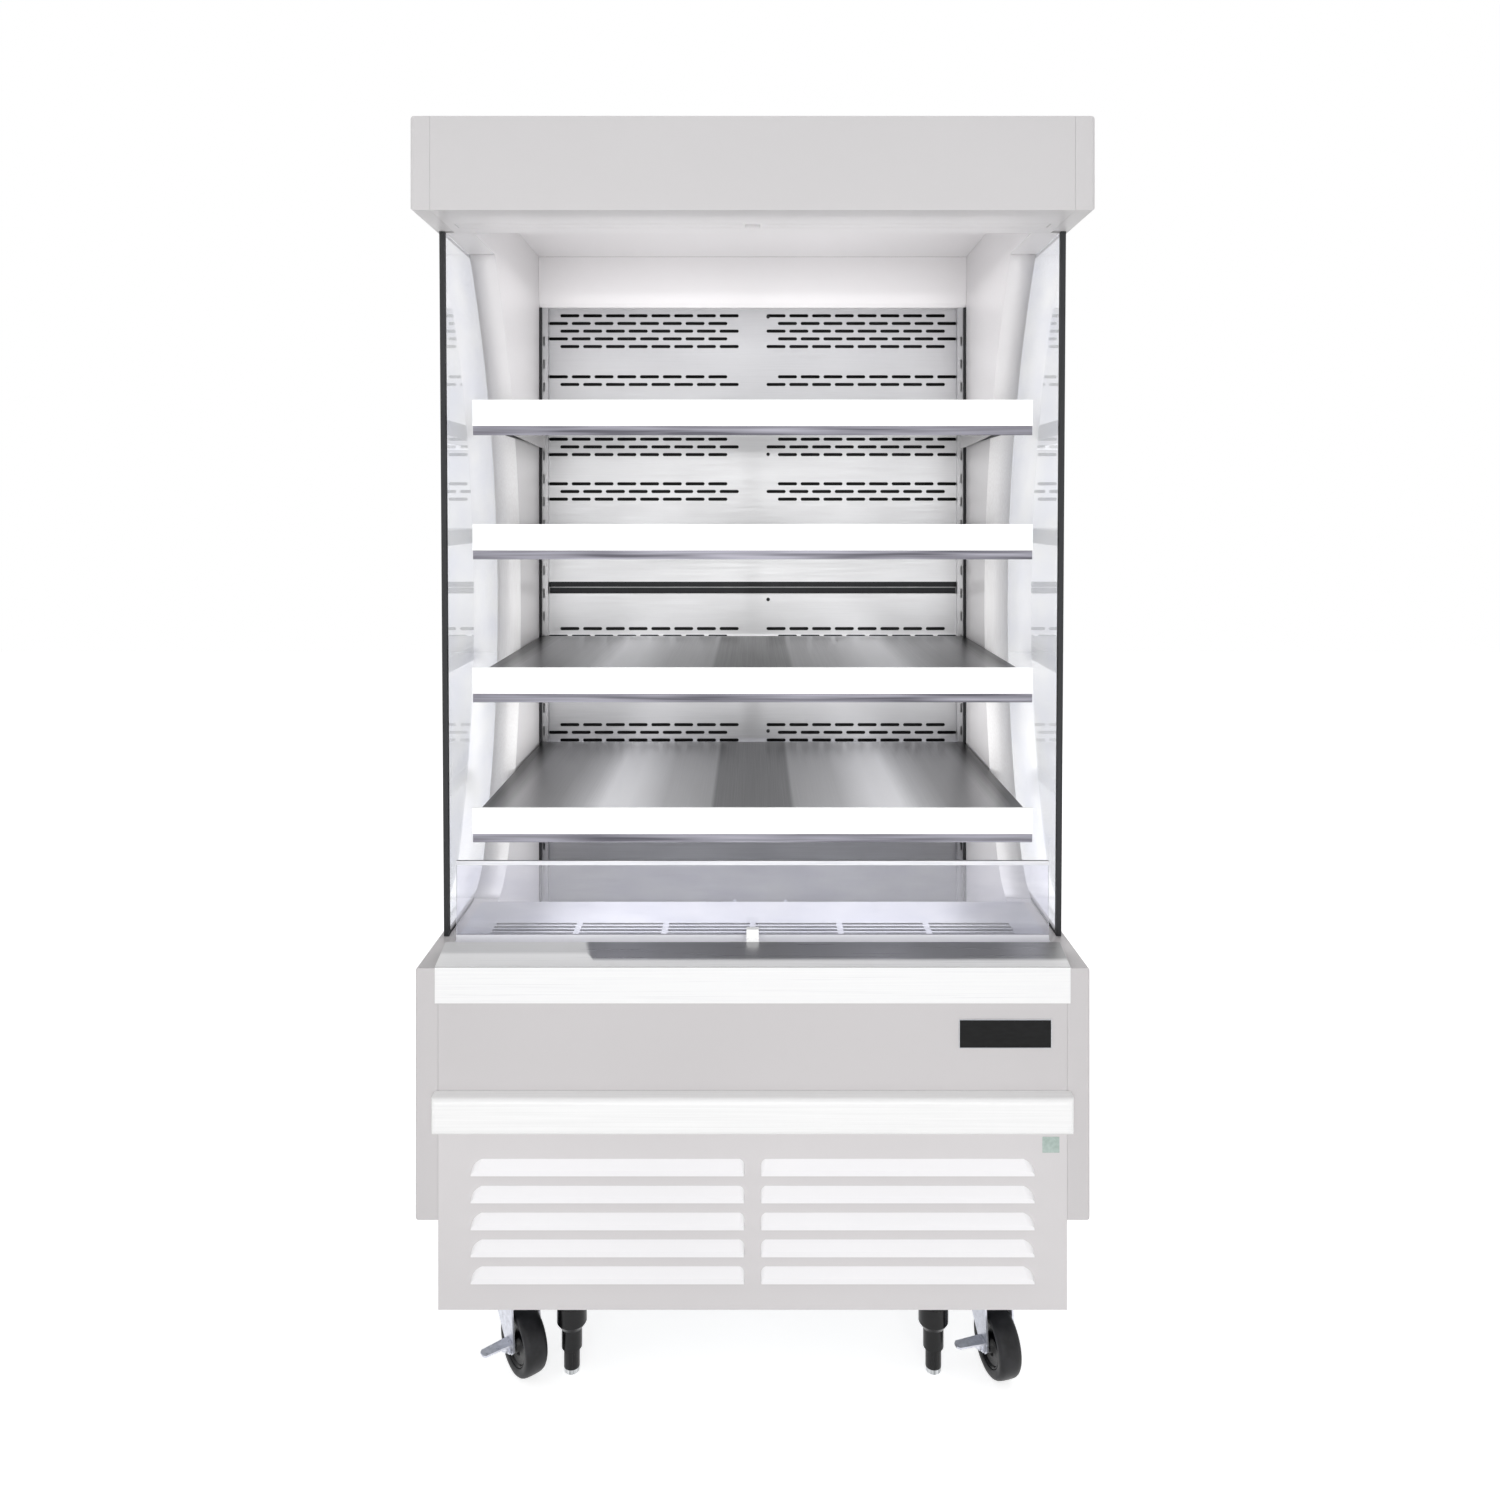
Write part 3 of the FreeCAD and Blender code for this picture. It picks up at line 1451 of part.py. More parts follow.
evaporator_back = back_inside - gap - 60
coil_tubes = [(0.2, 0.3), (0.4, 0.7), (0.6, 0.3), (0.8, 0.7)]


def evaporator_coil():
    half = half_width - size("evaporator_inset")
    finned_coil(
        "evaporator_coil", -half, half, evaporator_back - size("evaporator_depth"), evaporator_back,
        tub_floor + gap, tub_floor + gap + size("evaporator_height"), coil_tubes
    )


condenser_x0 = base_half - size("chassis_inset") - size("post_size") - 12 - size("condenser_width")
condenser_x1 = base_half - size("chassis_inset") - size("post_size") - 12
condenser_front = panel_inside + gap + size("post_size") + 15
condenser_back = condenser_front + size("condenser_depth")
condenser_mid = (condenser_x0 + condenser_x1) / 2


def condenser_coil():
    low = tray_top + gap
    finned_coil(
        "condenser_coil", condenser_x0, condenser_x1, condenser_front, condenser_back,
        low, low + size("condenser_height"), [(0.3, 0.12), (0.7, 0.34), (0.3, 0.56), (0.7, 0.78), (0.3, 0.92)]
    )


fan_depth = 24
condenser_fan_y = condenser_back + 14
condenser_fan_z = tray_top + gap + size("condenser_height") / 2
evaporator_fan_y = evaporator_back - size("evaporator_depth") - size("evaporator_fan_radius") - 12
evaporator_fan_z = tub_floor + 44


def fan_shape(radius, blades):
    """Fan wheel about +Z from z = 0: hub with a shaft bore and pitched blades."""
    hub = 24
    bore = (size("shaft_radius") + size("bore_clearance")).value
    wheel = Part.makeCylinder(hub, fan_depth)
    arms = []
    for number in range(blades):
        arm = Part.makeBox(radius - hub + 4, 3, fan_depth * 1.35, Vector(hub - 4, -1.5, -fan_depth * 0.675))
        arm.rotate(Vector(0, 0, 0), Vector(1, 0, 0), 55)
        arm.translate(Vector(0, 0, fan_depth / 2))
        arm.rotate(Vector(0, 0, 0), Vector(0, 0, 1), 360 * number / blades)
        arms.append(arm)
    whole = wheel.fuse(arms)
    limit = Part.makeCylinder(radius, fan_depth)
    return whole.common(limit).cut(Part.makeCylinder(bore, fan_depth * 0.7))


def fans():
    """Condenser fan blowing towards the back, and evaporator fan lying under the deck pan."""
    wheel = fan_shape(size("condenser_fan_radius").value, 5)
    wheel.rotate(Vector(0, 0, 0), Vector(1, 0, 0), 90)
    wheel.translate(Vector(condenser_mid.value, condenser_fan_y.value + fan_depth, condenser_fan_z.value))
    made("condenser_fan", wheel)
    wheel = fan_shape(size("evaporator_fan_radius").value, 5)
    wheel.translate(Vector(0, evaporator_fan_y.value, evaporator_fan_z.value))
    made("evaporator_fan", wheel)


def fan_motors():
    """Two motors: one on a stand behind the condenser fan, one on a plate under the evaporator fan."""
    motor = size("motor_radius").value
    shaft = size("shaft_radius").value
    x = condenser_mid.value
    z = condenser_fan_z.value
    face = condenser_fan_y.value + fan_depth
    body = round_shape(motor, Vector(x, face + 4, z), Vector(x, face + 64, z))
    spindle = round_shape(shaft, Vector(x, face - fan_depth * 0.65, z), Vector(x, face + 5, z))
    stand = box_shape(x - 20, x + 20, face + 30, face + 36, tray_top + gap, z)
    foot = box_shape(x - 50, x + 50, face + 20, face + 60, tray_top + gap, tray_top + gap + 3)
    condenser_motor = body.fuse([spindle, stand, foot])
    floor = (tub_floor + gap).value
    y = evaporator_fan_y.value
    low = evaporator_fan_z.value
    body = round_shape(motor, Vector(0, y, floor), Vector(0, y, low - 4))
    spindle = round_shape(shaft, Vector(0, y, low - 5), Vector(0, y, low + fan_depth * 0.65))
    plate = box_shape(-90, 90, y - 40, y + 40, floor, floor + 2)
    evaporator_motor = body.fuse([spindle, plate])
    made("fan_motors", Part.makeCompound([condenser_motor, evaporator_motor]))


def compressor():
    """Domed hermetic compressor on a foot plate."""
    solid = Solid("compressor")
    radius = size("compressor_radius")
    high = size("compressor_height")
    solid.pad("XY_Plane", rectangle(-radius - 18, radius + 18, -radius, radius), 0, 4)
    profile = polygon(
        (0, 3), (radius - 8, 3), (radius - 8, 14), (radius, 26), (radius, high * 0.45),
        (radius + 3, high * 0.45), (radius + 3, high * 0.45 + 5), (radius, high * 0.45 + 5),
        (radius, high * 0.72), (radius * 0.86, high * 0.88), (radius * 0.5, high), (0, high),
    )
    solid.turn("XZ_Plane", profile, "V_Axis")
    solid.place(-base_half / 2, back / 4, tray_top + gap)
    solid.keep()


box_back = back - size("chassis_inset") - 14
box_x0 = size("chassis_inset") + size("post_size") + 12 - base_half
box_x1 = box_x0 + size("box_width")
box_low = tray_top + gap
gland_x = (box_x0 + box_x1) / 2
gland_z = box_low + size("box_height") * 0.4


def control_box():
    """Electrical box at the rear of the tray; the power inlet's gland reaches through the rear panel."""
    solid = Solid("control_box")
    box_front = box_back - size("box_depth")
    shell = rectangle(box_x0, box_x1, box_front, box_back)
    solid.pad("XY_Plane", shell, box_low, box_low + size("box_height"))
    solid.pad("XZ_Plane", circle(gland_x, gland_z, size("gland_radius")), box_back - 1, back - gap)
    solid.pocket("XZ_Plane", circle(gland_x, gland_z, size("gland_radius") * 0.5), box_back - 8, back)
    solid.keep()


# ---------------------------------------------------------------- assembly

insulated_body()
for side_name, side_sign in (("left", -1), ("right", 1)):
    side_wall("side_wall_" + side_name, side_sign)
    side_glass("side_glass_" + side_name, side_sign)
    head_cap("head_cap_" + side_name, side_sign)
    end_panel("end_panel_" + side_name, side_sign)
    levelling_foot("levelling_foot_" + side_name, side_sign)
head_fascia()
head_soffit()
blind_roller()
blind_film()
blind_pull_bar()
blind_catch()
led_lamp()
air_honeycomb()
ceiling_panel()
upper_back_cover()
rear_panels()
shelf_uprights()
for shelf_number in SHELF_NUMBERS:
    shelf(shelf_number)
    price_rail(shelf_number)
shelf_brackets()
deck_pan()
return_grille()
breath_guard()
deck_rail()
front_panel()
bumper_rail()
louvre_panel()
base_frame()
rear_service_panel()
for corner_name in CORNERS:
    caster_fork(corner_name)
    caster_wheel(corner_name)
for corner_name in ("front_left", "front_right"):
    brake_lever(corner_name)
leg_sleeves()
evaporator_coil()
condenser_coil()
fans()
fan_motors()
compressor()
control_box()

doc.recompute()

faults = []
for item in doc.Objects:
    if "Invalid" in item.State or "Error" in item.State:
        faults.append("%s is %s" % (item.Label, item.State))
for part_name, part in parts.items():
    if part.Shape.isNull() or not part.Shape.isValid() or not part.Shape.Solids:
        faults.append("%s has no valid shape" % part_name)
if faults:
    raise SystemExit("\n".join(faults))

os.makedirs("parts", exist_ok=True)
for part_name, part in parts.items():
    part.Shape.exportStep("parts/%s.step" % part_name)
print("%d sub-parts written" % len(parts))
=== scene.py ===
import math

import bmesh
import bpy
from mathutils import Matrix, Vector


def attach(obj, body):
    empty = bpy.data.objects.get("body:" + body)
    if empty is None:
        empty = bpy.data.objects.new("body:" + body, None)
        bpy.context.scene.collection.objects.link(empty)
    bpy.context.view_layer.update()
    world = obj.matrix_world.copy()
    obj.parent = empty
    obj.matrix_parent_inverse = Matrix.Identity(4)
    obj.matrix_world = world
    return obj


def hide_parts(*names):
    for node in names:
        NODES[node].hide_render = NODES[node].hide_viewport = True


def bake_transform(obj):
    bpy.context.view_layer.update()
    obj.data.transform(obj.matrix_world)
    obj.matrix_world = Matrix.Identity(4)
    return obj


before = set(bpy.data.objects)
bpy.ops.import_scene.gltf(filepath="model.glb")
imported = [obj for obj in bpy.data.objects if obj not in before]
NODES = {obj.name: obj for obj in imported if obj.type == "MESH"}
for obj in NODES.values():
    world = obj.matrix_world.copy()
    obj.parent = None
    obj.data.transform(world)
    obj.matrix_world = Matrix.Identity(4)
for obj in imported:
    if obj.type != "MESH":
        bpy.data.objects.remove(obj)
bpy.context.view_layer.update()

MM = 0.001

# ---------------------------------------------------------------- camera

EYE = (0.0, -2.1985, 1.3935)
FOCAL_MM = 27.48
SENSOR_MM = 36.0
FRAME_SHIFT = -0.16
SIDE_SHIFT = -0.00175

camera_data = bpy.data.cameras.new("shop_camera")
camera_data.lens = FOCAL_MM
camera_data.sensor_width = SENSOR_MM
camera_data.shift_x = SIDE_SHIFT
camera_data.shift_y = FRAME_SHIFT
camera = bpy.data.objects.new("shop_camera", camera_data)
camera.location = EYE
camera.rotation_euler = (math.radians(90), 0, 0)
bpy.context.scene.collection.objects.link(camera)
bpy.context.scene.camera = camera
bpy.context.scene.view_settings.view_transform = "Standard"


# ---------------------------------------------------------------- small tools


def paint(code):
    """Linear colour of an sRGB hex code, as shader sockets take it."""
    parts = [int(code[place:place + 2], 16) / 255 for place in (1, 3, 5)]
    linear = [part / 12.92 if part <= 0.04045 else ((part + 0.055) / 1.055) ** 2.4 for part in parts]
    return (*linear, 1.0)


def node(tree, kind, inputs=None, out=0, stops=(), **settings):
    """Adds one node: inputs are values or other nodes' outputs, stops the (place, hex) of a colour ramp.

    Returns the output that the next node takes."""
    added = tree.nodes.new(kind)
    for name, value in settings.items():
        setattr(added, name, value)
    for name, value in (inputs or {}).items():
        socket = added.inputs[name]
        if isinstance(value, bpy.types.NodeSocket):
            tree.links.new(value, socket)
        else:
            socket.default_value = value
    if stops:
        elements = added.color_ramp.elements
        while len(elements) < len(stops):
            elements.new(0.5)
        for element, (place, code) in zip(elements, stops):
            element.position = place
            element.color = paint(code)
    return added.outputs[out] if len(added.outputs) else added


def made_finish(draw, *details, name=None):
    """Makes a material: draw lays its pattern on the object's own coordinates, in metres.

    draw returns the sockets of the surface's shader, with their values or the outputs that feed them."""
    material = bpy.data.materials.new(name or draw.__name__)
    material.use_nodes = True
    tree = material.node_tree
    tree.nodes.clear()
    place = node(tree, "ShaderNodeTexCoord", out="Object")
    shader = node(tree, "ShaderNodeBsdfPrincipled", draw(tree, place, *details))
    node(tree, "ShaderNodeOutputMaterial", {"Surface": shader})
    return material


# ---------------------------------------------------------------- finishes

FINE_LINES = {"Scale": 1.0, "Detail": 1.0}
BRUSH_MARKS = {"Scale": 1.0, "Detail": 2.0, "Roughness": 0.6}
MIDDLE = {"From Min": 0.3, "From Max": 0.7}


def grained(tree, place, cells, colours, gloss, relief=None, spread=None, detail=1.0, fine=0.5, **more):
    """A surface with one grain, which shows in its tone, its gloss and, where relief is given, its height.

    cells is how many grains lie in a metre along x, y and z, colours the dark and the light one, gloss the
    two ends of its roughness, and relief the (depth in mm, strength) of its height."""
    stretched = node(tree, "ShaderNodeMapping", {"Vector": place, "Scale": cells})
    noise = {"Vector": stretched, "Scale": 1.0, "Detail": detail, "Roughness": fine}
    grain = node(tree, "ShaderNodeTexNoise", noise)
    dark, light = colours
    tone = node(tree, "ShaderNodeValToRGB", {"Fac": grain}, stops=((0.3, dark), (0.7, light)))
    ends = {"To Min": gloss[0], "To Max": gloss[1]}
    rough = node(tree, "ShaderNodeMapRange", {"Value": grain, **(spread or {}), **ends})
    sockets = {"Base Color": tone, "Roughness": rough}
    if relief:
        depth, strength = relief
        height = {"Height": grain, "Distance": depth * MM, "Strength": strength}
        sockets["Normal"] = node(tree, "ShaderNodeBump", height)
    sockets.update({key.replace("_", " "): value for key, value in more.items()})
    return sockets


def powder_coat(tree, place, light, dark):
    """Polyester powder coat, sprayed and baked on sheet steel: an even satin grey with a faint orange peel.

    The peel is about 1.5 mm wide on the real sheet and is drawn 6 mm wide so that it shows."""
    patches = node(tree, "ShaderNodeTexNoise", {"Vector": place, "Scale": 2.2, "Detail": 1.0})
    peel = node(tree, "ShaderNodeTexNoise", {"Vector": place, "Scale": 1 / (6 * MM), "Detail": 1.0})
    return {
        "Base Color": node(tree, "ShaderNodeValToRGB", {"Fac": patches}, stops=((0.3, dark), (0.7, light))),
        "Roughness": node(tree, "ShaderNodeMapRange", {"Value": peel, "To Min": 0.38, "To Max": 0.47}),
        "Normal": node(tree, "ShaderNodeBump", {"Height": peel, "Distance": 0.12 * MM, "Strength": 0.35}),
        "Coat Weight": 0.08, "Coat Roughness": 0.2,
    }


HOOD_PROUD = -0.4089


def louvre_powder_coat(tree, place):
    """The same powder coat on the louvre panel; its pressed hoods, which stand out into the light, are drawn
    nearly white as a painted highlight.
    """
    depth = node(tree, "ShaderNodeSeparateXYZ", {"Vector": place}, out="Y")
    hood = node(tree, "ShaderNodeMath", {0: depth, 1: HOOD_PROUD}, operation="LESS_THAN")
    patches = node(tree, "ShaderNodeTexNoise", {"Vector": place, "Scale": 2.2, "Detail": 1.0})
    sheet = node(tree, "ShaderNodeValToRGB", {"Fac": patches}, stops=((0.3, "#D7D4D5"), (0.7, "#DBD8D9")))
    # painted highlight: the hoods in front of the sheet are drawn nearly white
    pressed = node(tree, "ShaderNodeValToRGB", {"Fac": patches}, stops=((0.3, "#F6F5F7"), (0.7, "#FBFAFC")))
    peel = node(tree, "ShaderNodeTexNoise", {"Vector": place, "Scale": 1 / (6 * MM), "Detail": 1.0})
    return {
        "Base Color": node(tree, "ShaderNodeMix", {0: hood, 6: sheet, 7: pressed}, out=2, data_type="RGBA"),
        "Roughness": node(tree, "ShaderNodeMapRange", {"Value": peel, "To Min": 0.37, "To Max": 0.45}),
        "Normal": node(tree, "ShaderNodeBump", {"Height": peel, "Distance": 0.12 * MM, "Strength": 0.35}),
    }


def liner_enamel(tree, place):
    """Coil-coated liner sheet: smooth light grey, drawn a little paler towards the front as painted light
    from the opening, with a fine orange peel.

    The peel is about 1 mm wide on the real sheet and is drawn 7 mm wide."""
    depth = node(tree, "ShaderNodeSeparateXYZ", {"Vector": place}, out="Y")
    # painted light: the sheet is drawn paler towards the open front
    fade = {"Value": depth, "From Min": -0.35, "From Max": 0.3, "To Min": 0.75, "To Max": 0.0}
    painted_front_light = node(tree, "ShaderNodeMapRange", fade)
    cloud = node(tree, "ShaderNodeTexNoise", {"Vector": place, "Scale": 2.5, "Detail": 1.0})
    tone = node(tree, "ShaderNodeMath", {0: cloud, 1: 0.25, 2: painted_front_light}, operation="MULTIPLY_ADD")
    peel = node(tree, "ShaderNodeTexNoise", {"Vector": place, "Scale": 1 / (7 * MM), "Detail": 1.0})
    greys = ((0.1, "#D3D1D2"), (0.9, "#DDDBDC"))
    return {
        "Base Color": node(tree, "ShaderNodeValToRGB", {"Fac": tone}, stops=greys),
        "Roughness": node(tree, "ShaderNodeMapRange", {"Value": peel, "To Min": 0.34, "To Max": 0.42}),
        "Normal": node(tree, "ShaderNodeBump", {"Height": peel, "Distance": 0.1 * MM, "Strength": 0.25}),
        "Coat Weight": 0.1, "Coat Roughness": 0.15,
    }


DUCT_FRONT = 0.325
DUCT_BACK = 0.389
DUCT_HALF = 0.5


def liner_and_duct(tree, place):
    """The liner sheet of the tub and ceiling, drawn near black behind the rear panels as painted shade in the
    air duct, seen through their slots.

    The painted shade is mottled in patches about 20 mm across."""
    depth = node(tree, "ShaderNodeSeparateXYZ", {"Vector": place}, out="Y")
    sideways = node(tree, "ShaderNodeSeparateXYZ", {"Vector": place}, out="X")
    across = node(tree, "ShaderNodeMath", {0: sideways}, operation="ABSOLUTE")
    past = node(tree, "ShaderNodeMath", {0: depth, 1: DUCT_FRONT}, operation="GREATER_THAN")
    before = node(tree, "ShaderNodeMath", {0: depth, 1: DUCT_BACK}, operation="LESS_THAN")
    between = node(tree, "ShaderNodeMath", {0: across, 1: DUCT_HALF}, operation="LESS_THAN")
    within = node(tree, "ShaderNodeMath", {0: past, 1: before}, operation="MULTIPLY")
    behind = node(tree, "ShaderNodeMath", {0: within, 1: between}, operation="MULTIPLY")
    cloud = node(tree, "ShaderNodeTexNoise", {"Vector": place, "Scale": 1 / (20 * MM), "Detail": 2.0})
    sheet = node(tree, "ShaderNodeValToRGB", {"Fac": cloud}, stops=((0.3, "#DAD8D9"), (0.7, "#E0DEDF")))
    # painted shade: near black where the air duct lies behind the rear panels
    duct_shade = node(tree, "ShaderNodeValToRGB", {"Fac": cloud}, stops=((0.3, "#121213"), (0.7, "#222223")))
    return {
        "Base Color": node(tree, "ShaderNodeMix", {0: behind, 6: sheet, 7: duct_shade}, out=2, data_type="RGBA"),
        "Roughness": node(tree, "ShaderNodeMapRange", {"Value": cloud, "To Min": 0.36, "To Max": 0.5}),
    }


# painted shade: between these heights the strip is drawn from white to grey towards the head
STRIP_UNSHADED_TO = 1.5
STRIP_SHADED_FROM = 1.7


def breaker_strip_vinyl(tree, place):
    """Extruded vinyl edge strip: white and satin, greyer near the head as painted shade, with draw lines 1.4
    mm apart.
    """
    along = node(tree, "ShaderNodeMapping", {"Vector": place, "Scale": (700, 700, 4)})
    lines = node(tree, "ShaderNodeTexNoise", {"Vector": along, **FINE_LINES})
    height = node(tree, "ShaderNodeSeparateXYZ", {"Vector": place}, out="Z")
    near_head = {"Value": height, "From Min": STRIP_UNSHADED_TO, "From Max": STRIP_SHADED_FROM}
    # painted shade under the head
    head_shade = node(tree, "ShaderNodeMapRange", near_head)
    unshaded_white = node(tree, "ShaderNodeValToRGB", {"Fac": lines}, stops=((0.3, "#EFEDED"), (0.7, "#F6F5F5")))
    grey = paint("#D9D7D8")
    return {
        "Base Color": node(tree, "ShaderNodeMix", {0: head_shade, 6: unshaded_white, 7: grey}, out=2, data_type="RGBA"),
        "Roughness": node(tree, "ShaderNodeMapRange", {"Value": lines, "To Min": 0.29, "To Max": 0.38}),
        "Normal": node(tree, "ShaderNodeBump", {"Height": lines, "Distance": 0.1 * MM, "Strength": 0.2}),
        "IOR": 1.53,
    }


def white_rail_vinyl(tree, place):
    """Extruded rigid vinyl of the price rails and the bumper: bright white, glossy, draw lines 2 mm apart."""
    return grained(
        tree, place, (5, 500, 500), ("#F6F6F6", "#FCFCFC"), gloss=(0.18, 0.27), relief=(0.08, 0.2),
        IOR=1.53, Coat_Weight=0.3, Coat_Roughness=0.08
    )


# painted light and shade on the rear panels: paler from PALE_FROM to PALE_TO, darker again under the roof
# from SHADE_FROM to SHADE_TO
PALE_FROM = 0.84
PALE_TO = 1.16
SHADE_FROM = 1.54
SHADE_TO = 1.62


def rear_panel_stainless(tree, place):
    """Stainless sheet with a number 4 finish, brushed across: satin metal, paler in its middle height as
    painted light, and darker under the roof as painted shade.

    The brush marks are about 0.2 mm apart on the real sheet and are drawn 1.5 mm apart."""
    across = node(tree, "ShaderNodeMapping", {"Vector": place, "Scale": (9, 650, 650)})
    marks = node(tree, "ShaderNodeTexNoise", {"Vector": across, **BRUSH_MARKS})
    sweep = node(tree, "ShaderNodeMapping", {"Vector": place, "Scale": (2.6, 2.6, 5.0)})
    soft = node(tree, "ShaderNodeTexNoise", {"Vector": sweep, "Scale": 1.0, "Detail": 1.0, "Distortion": 0.6})
    height = node(tree, "ShaderNodeSeparateXYZ", {"Vector": place}, out="Z")
    # painted light rising with height, then painted shade under the roof
    paler = {"Value": height, "From Min": PALE_FROM, "From Max": PALE_TO, "To Min": 0.0, "To Max": 0.55}
    upper = node(tree, "ShaderNodeMapRange", paler, interpolation_type="SMOOTHSTEP")
    darker = {"Value": height, "From Min": SHADE_FROM, "From Max": SHADE_TO, "To Min": 0.0, "To Max": -0.4}
    under_roof = node(tree, "ShaderNodeMapRange", darker)
    light_and_shade = node(tree, "ShaderNodeMath", {0: upper, 1: under_roof}, operation="ADD")
    grain = node(tree, "ShaderNodeMath", {0: marks, 1: 0.16, 2: light_and_shade}, operation="MULTIPLY_ADD")
    tone = node(tree, "ShaderNodeMath", {0: soft, 1: 0.3, 2: grain}, operation="MULTIPLY_ADD")
    greys = ((0.12, "#A0A0A2"), (0.35, "#BDBDBF"), (0.7, "#D4D4D5"), (0.9, "#E4E4E5"))
    return {
        "Base Color": node(tree, "ShaderNodeValToRGB", {"Fac": tone}, stops=greys),
        "Metallic": 0.9,
        "Roughness": node(
            tree, "ShaderNodeMapRange", {"Value": marks, **MIDDLE, "To Min": 0.3, "To Max": 0.42}
        ),
        "Normal": node(tree, "ShaderNodeBump", {"Height": marks, "Distance": 0.06 * MM, "Strength": 0.3}),
    }


FLANGE_BACK = -0.3000


def pan_stainless(tree, place):
    """Brushed stainless of the deck pan and the return grille, with the same marks drawn 1.5 mm apart.

    The grille's front flange, which holds the guard, is drawn pale grey and not metallic: a painted
    highlight."""
    across = node(tree, "ShaderNodeMapping", {"Vector": place, "Scale": (9, 650, 650)})
    marks = node(tree, "ShaderNodeTexNoise", {"Vector": across, **BRUSH_MARKS})
    soft = node(tree, "ShaderNodeTexNoise", {"Vector": place, "Scale": 3.0, "Detail": 1.0})
    tone = node(tree, "ShaderNodeMath", {0: marks, 1: 0.3, 2: soft}, operation="MULTIPLY_ADD")
    steel = node(tree, "ShaderNodeValToRGB", {"Fac": tone}, stops=((0.4, "#B9BAC0"), (0.9, "#D6D7DC")))
    # painted highlight: the flange colour here is drawn pale grey and not metallic
    painted = node(tree, "ShaderNodeValToRGB", {"Fac": tone}, stops=((0.4, "#E9E9EF"), (0.9, "#F1F1F5")))
    depth = node(tree, "ShaderNodeSeparateXYZ", {"Vector": place}, out="Y")
    bare = node(tree, "ShaderNodeMath", {0: depth, 1: FLANGE_BACK}, operation="GREATER_THAN")
    return {
        "Base Color": node(tree, "ShaderNodeMix", {0: bare, 6: painted, 7: steel}, out=2, data_type="RGBA"),
        "Metallic": bare,
        "Roughness": node(
            tree, "ShaderNodeMapRange", {"Value": marks, **MIDDLE, "To Min": 0.34, "To Max": 0.46}
        ),
        "Normal": node(tree, "ShaderNodeBump", {"Height": marks, "Distance": 0.06 * MM, "Strength": 0.3}),
    }


LIP_BACK = -0.3065
SHELF_HALF = 0.46


def shelf_stainless(tree, place):
    """Shelf plate brushed from front to back, with painted reflections in soft light and dark bands along the
    shelf; its front lip is drawn darker as painted shade, with a painted sheen.

    Its marks are 0.2 mm apart on the real plate and are drawn 2 mm apart."""
    sideways = node(tree, "ShaderNodeSeparateXYZ", {"Vector": place}, out="X")
    across = node(tree, "ShaderNodeMath", {0: sideways}, operation="ABSOLUTE")
    along = node(tree, "ShaderNodeMapping", {"Vector": place, "Scale": (500, 3, 500)})
    marks = node(tree, "ShaderNodeTexNoise", {"Vector": along, **BRUSH_MARKS})
    band = node(tree, "ShaderNodeMath", {0: marks, 1: 0.006, 2: across}, operation="MULTIPLY_ADD")
    spread = node(tree, "ShaderNodeMapRange", {"Value": band, "From Min": 0.0, "From Max": SHELF_HALF})
    # painted reflections: light and dark bands across the plate's width, dark in its middle and at its ends
    bands = (
        (0.150, "#646466"), (0.163, "#A2A2A4"), (0.34, "#B2B2B4"), (0.47, "#ECECEE"), (0.56, "#FCFCFE"),
        (0.64, "#C8C8CA"), (0.74, "#A6A6A8"), (0.90, "#AAAAAC"), (0.975, "#39393B"),
    )
    plate = node(tree, "ShaderNodeValToRGB", {"Fac": spread}, stops=bands)
    depth = node(tree, "ShaderNodeSeparateXYZ", {"Vector": place}, out="Y")
    folded = node(tree, "ShaderNodeMath", {0: depth, 1: LIP_BACK}, operation="LESS_THAN")
    waves = node(tree, "ShaderNodeMapping", {"Vector": place, "Scale": (5, 5, 160)})
    sheen = node(tree, "ShaderNodeTexNoise", {"Vector": waves, **FINE_LINES})
    # painted shade: the front lip is drawn much darker than the plate, with a painted sheen
    lip = node(tree, "ShaderNodeValToRGB", {"Fac": sheen}, stops=((0.3, "#55545B"), (0.7, "#93929B")))
    return {
        "Base Color": node(tree, "ShaderNodeMix", {0: folded, 6: plate, 7: lip}, out=2, data_type="RGBA"),
        "Metallic": 1.0,
        "Roughness": node(
            tree, "ShaderNodeMapRange", {"Value": marks, **MIDDLE, "To Min": 0.29, "To Max": 0.35}
        ),
        "Normal": node(tree, "ShaderNodeBump", {"Height": marks, "Distance": 0.03 * MM, "Strength": 0.15}),
    }


def zinc_plate(tree, place):
    """Bright zinc plating on pressed steel: pale blue-grey, clouded in patches about 8 mm across."""
    return grained(
        tree, place, (120, 120, 120), ("#C9CBD4", "#EAECF5"), gloss=(0.26, 0.44), relief=(0.1, 0.25),
        spread=MIDDLE, detail=3.0, fine=0.6, Metallic=0.8
    )


COLLAR_FOOT = 14.5 * MM


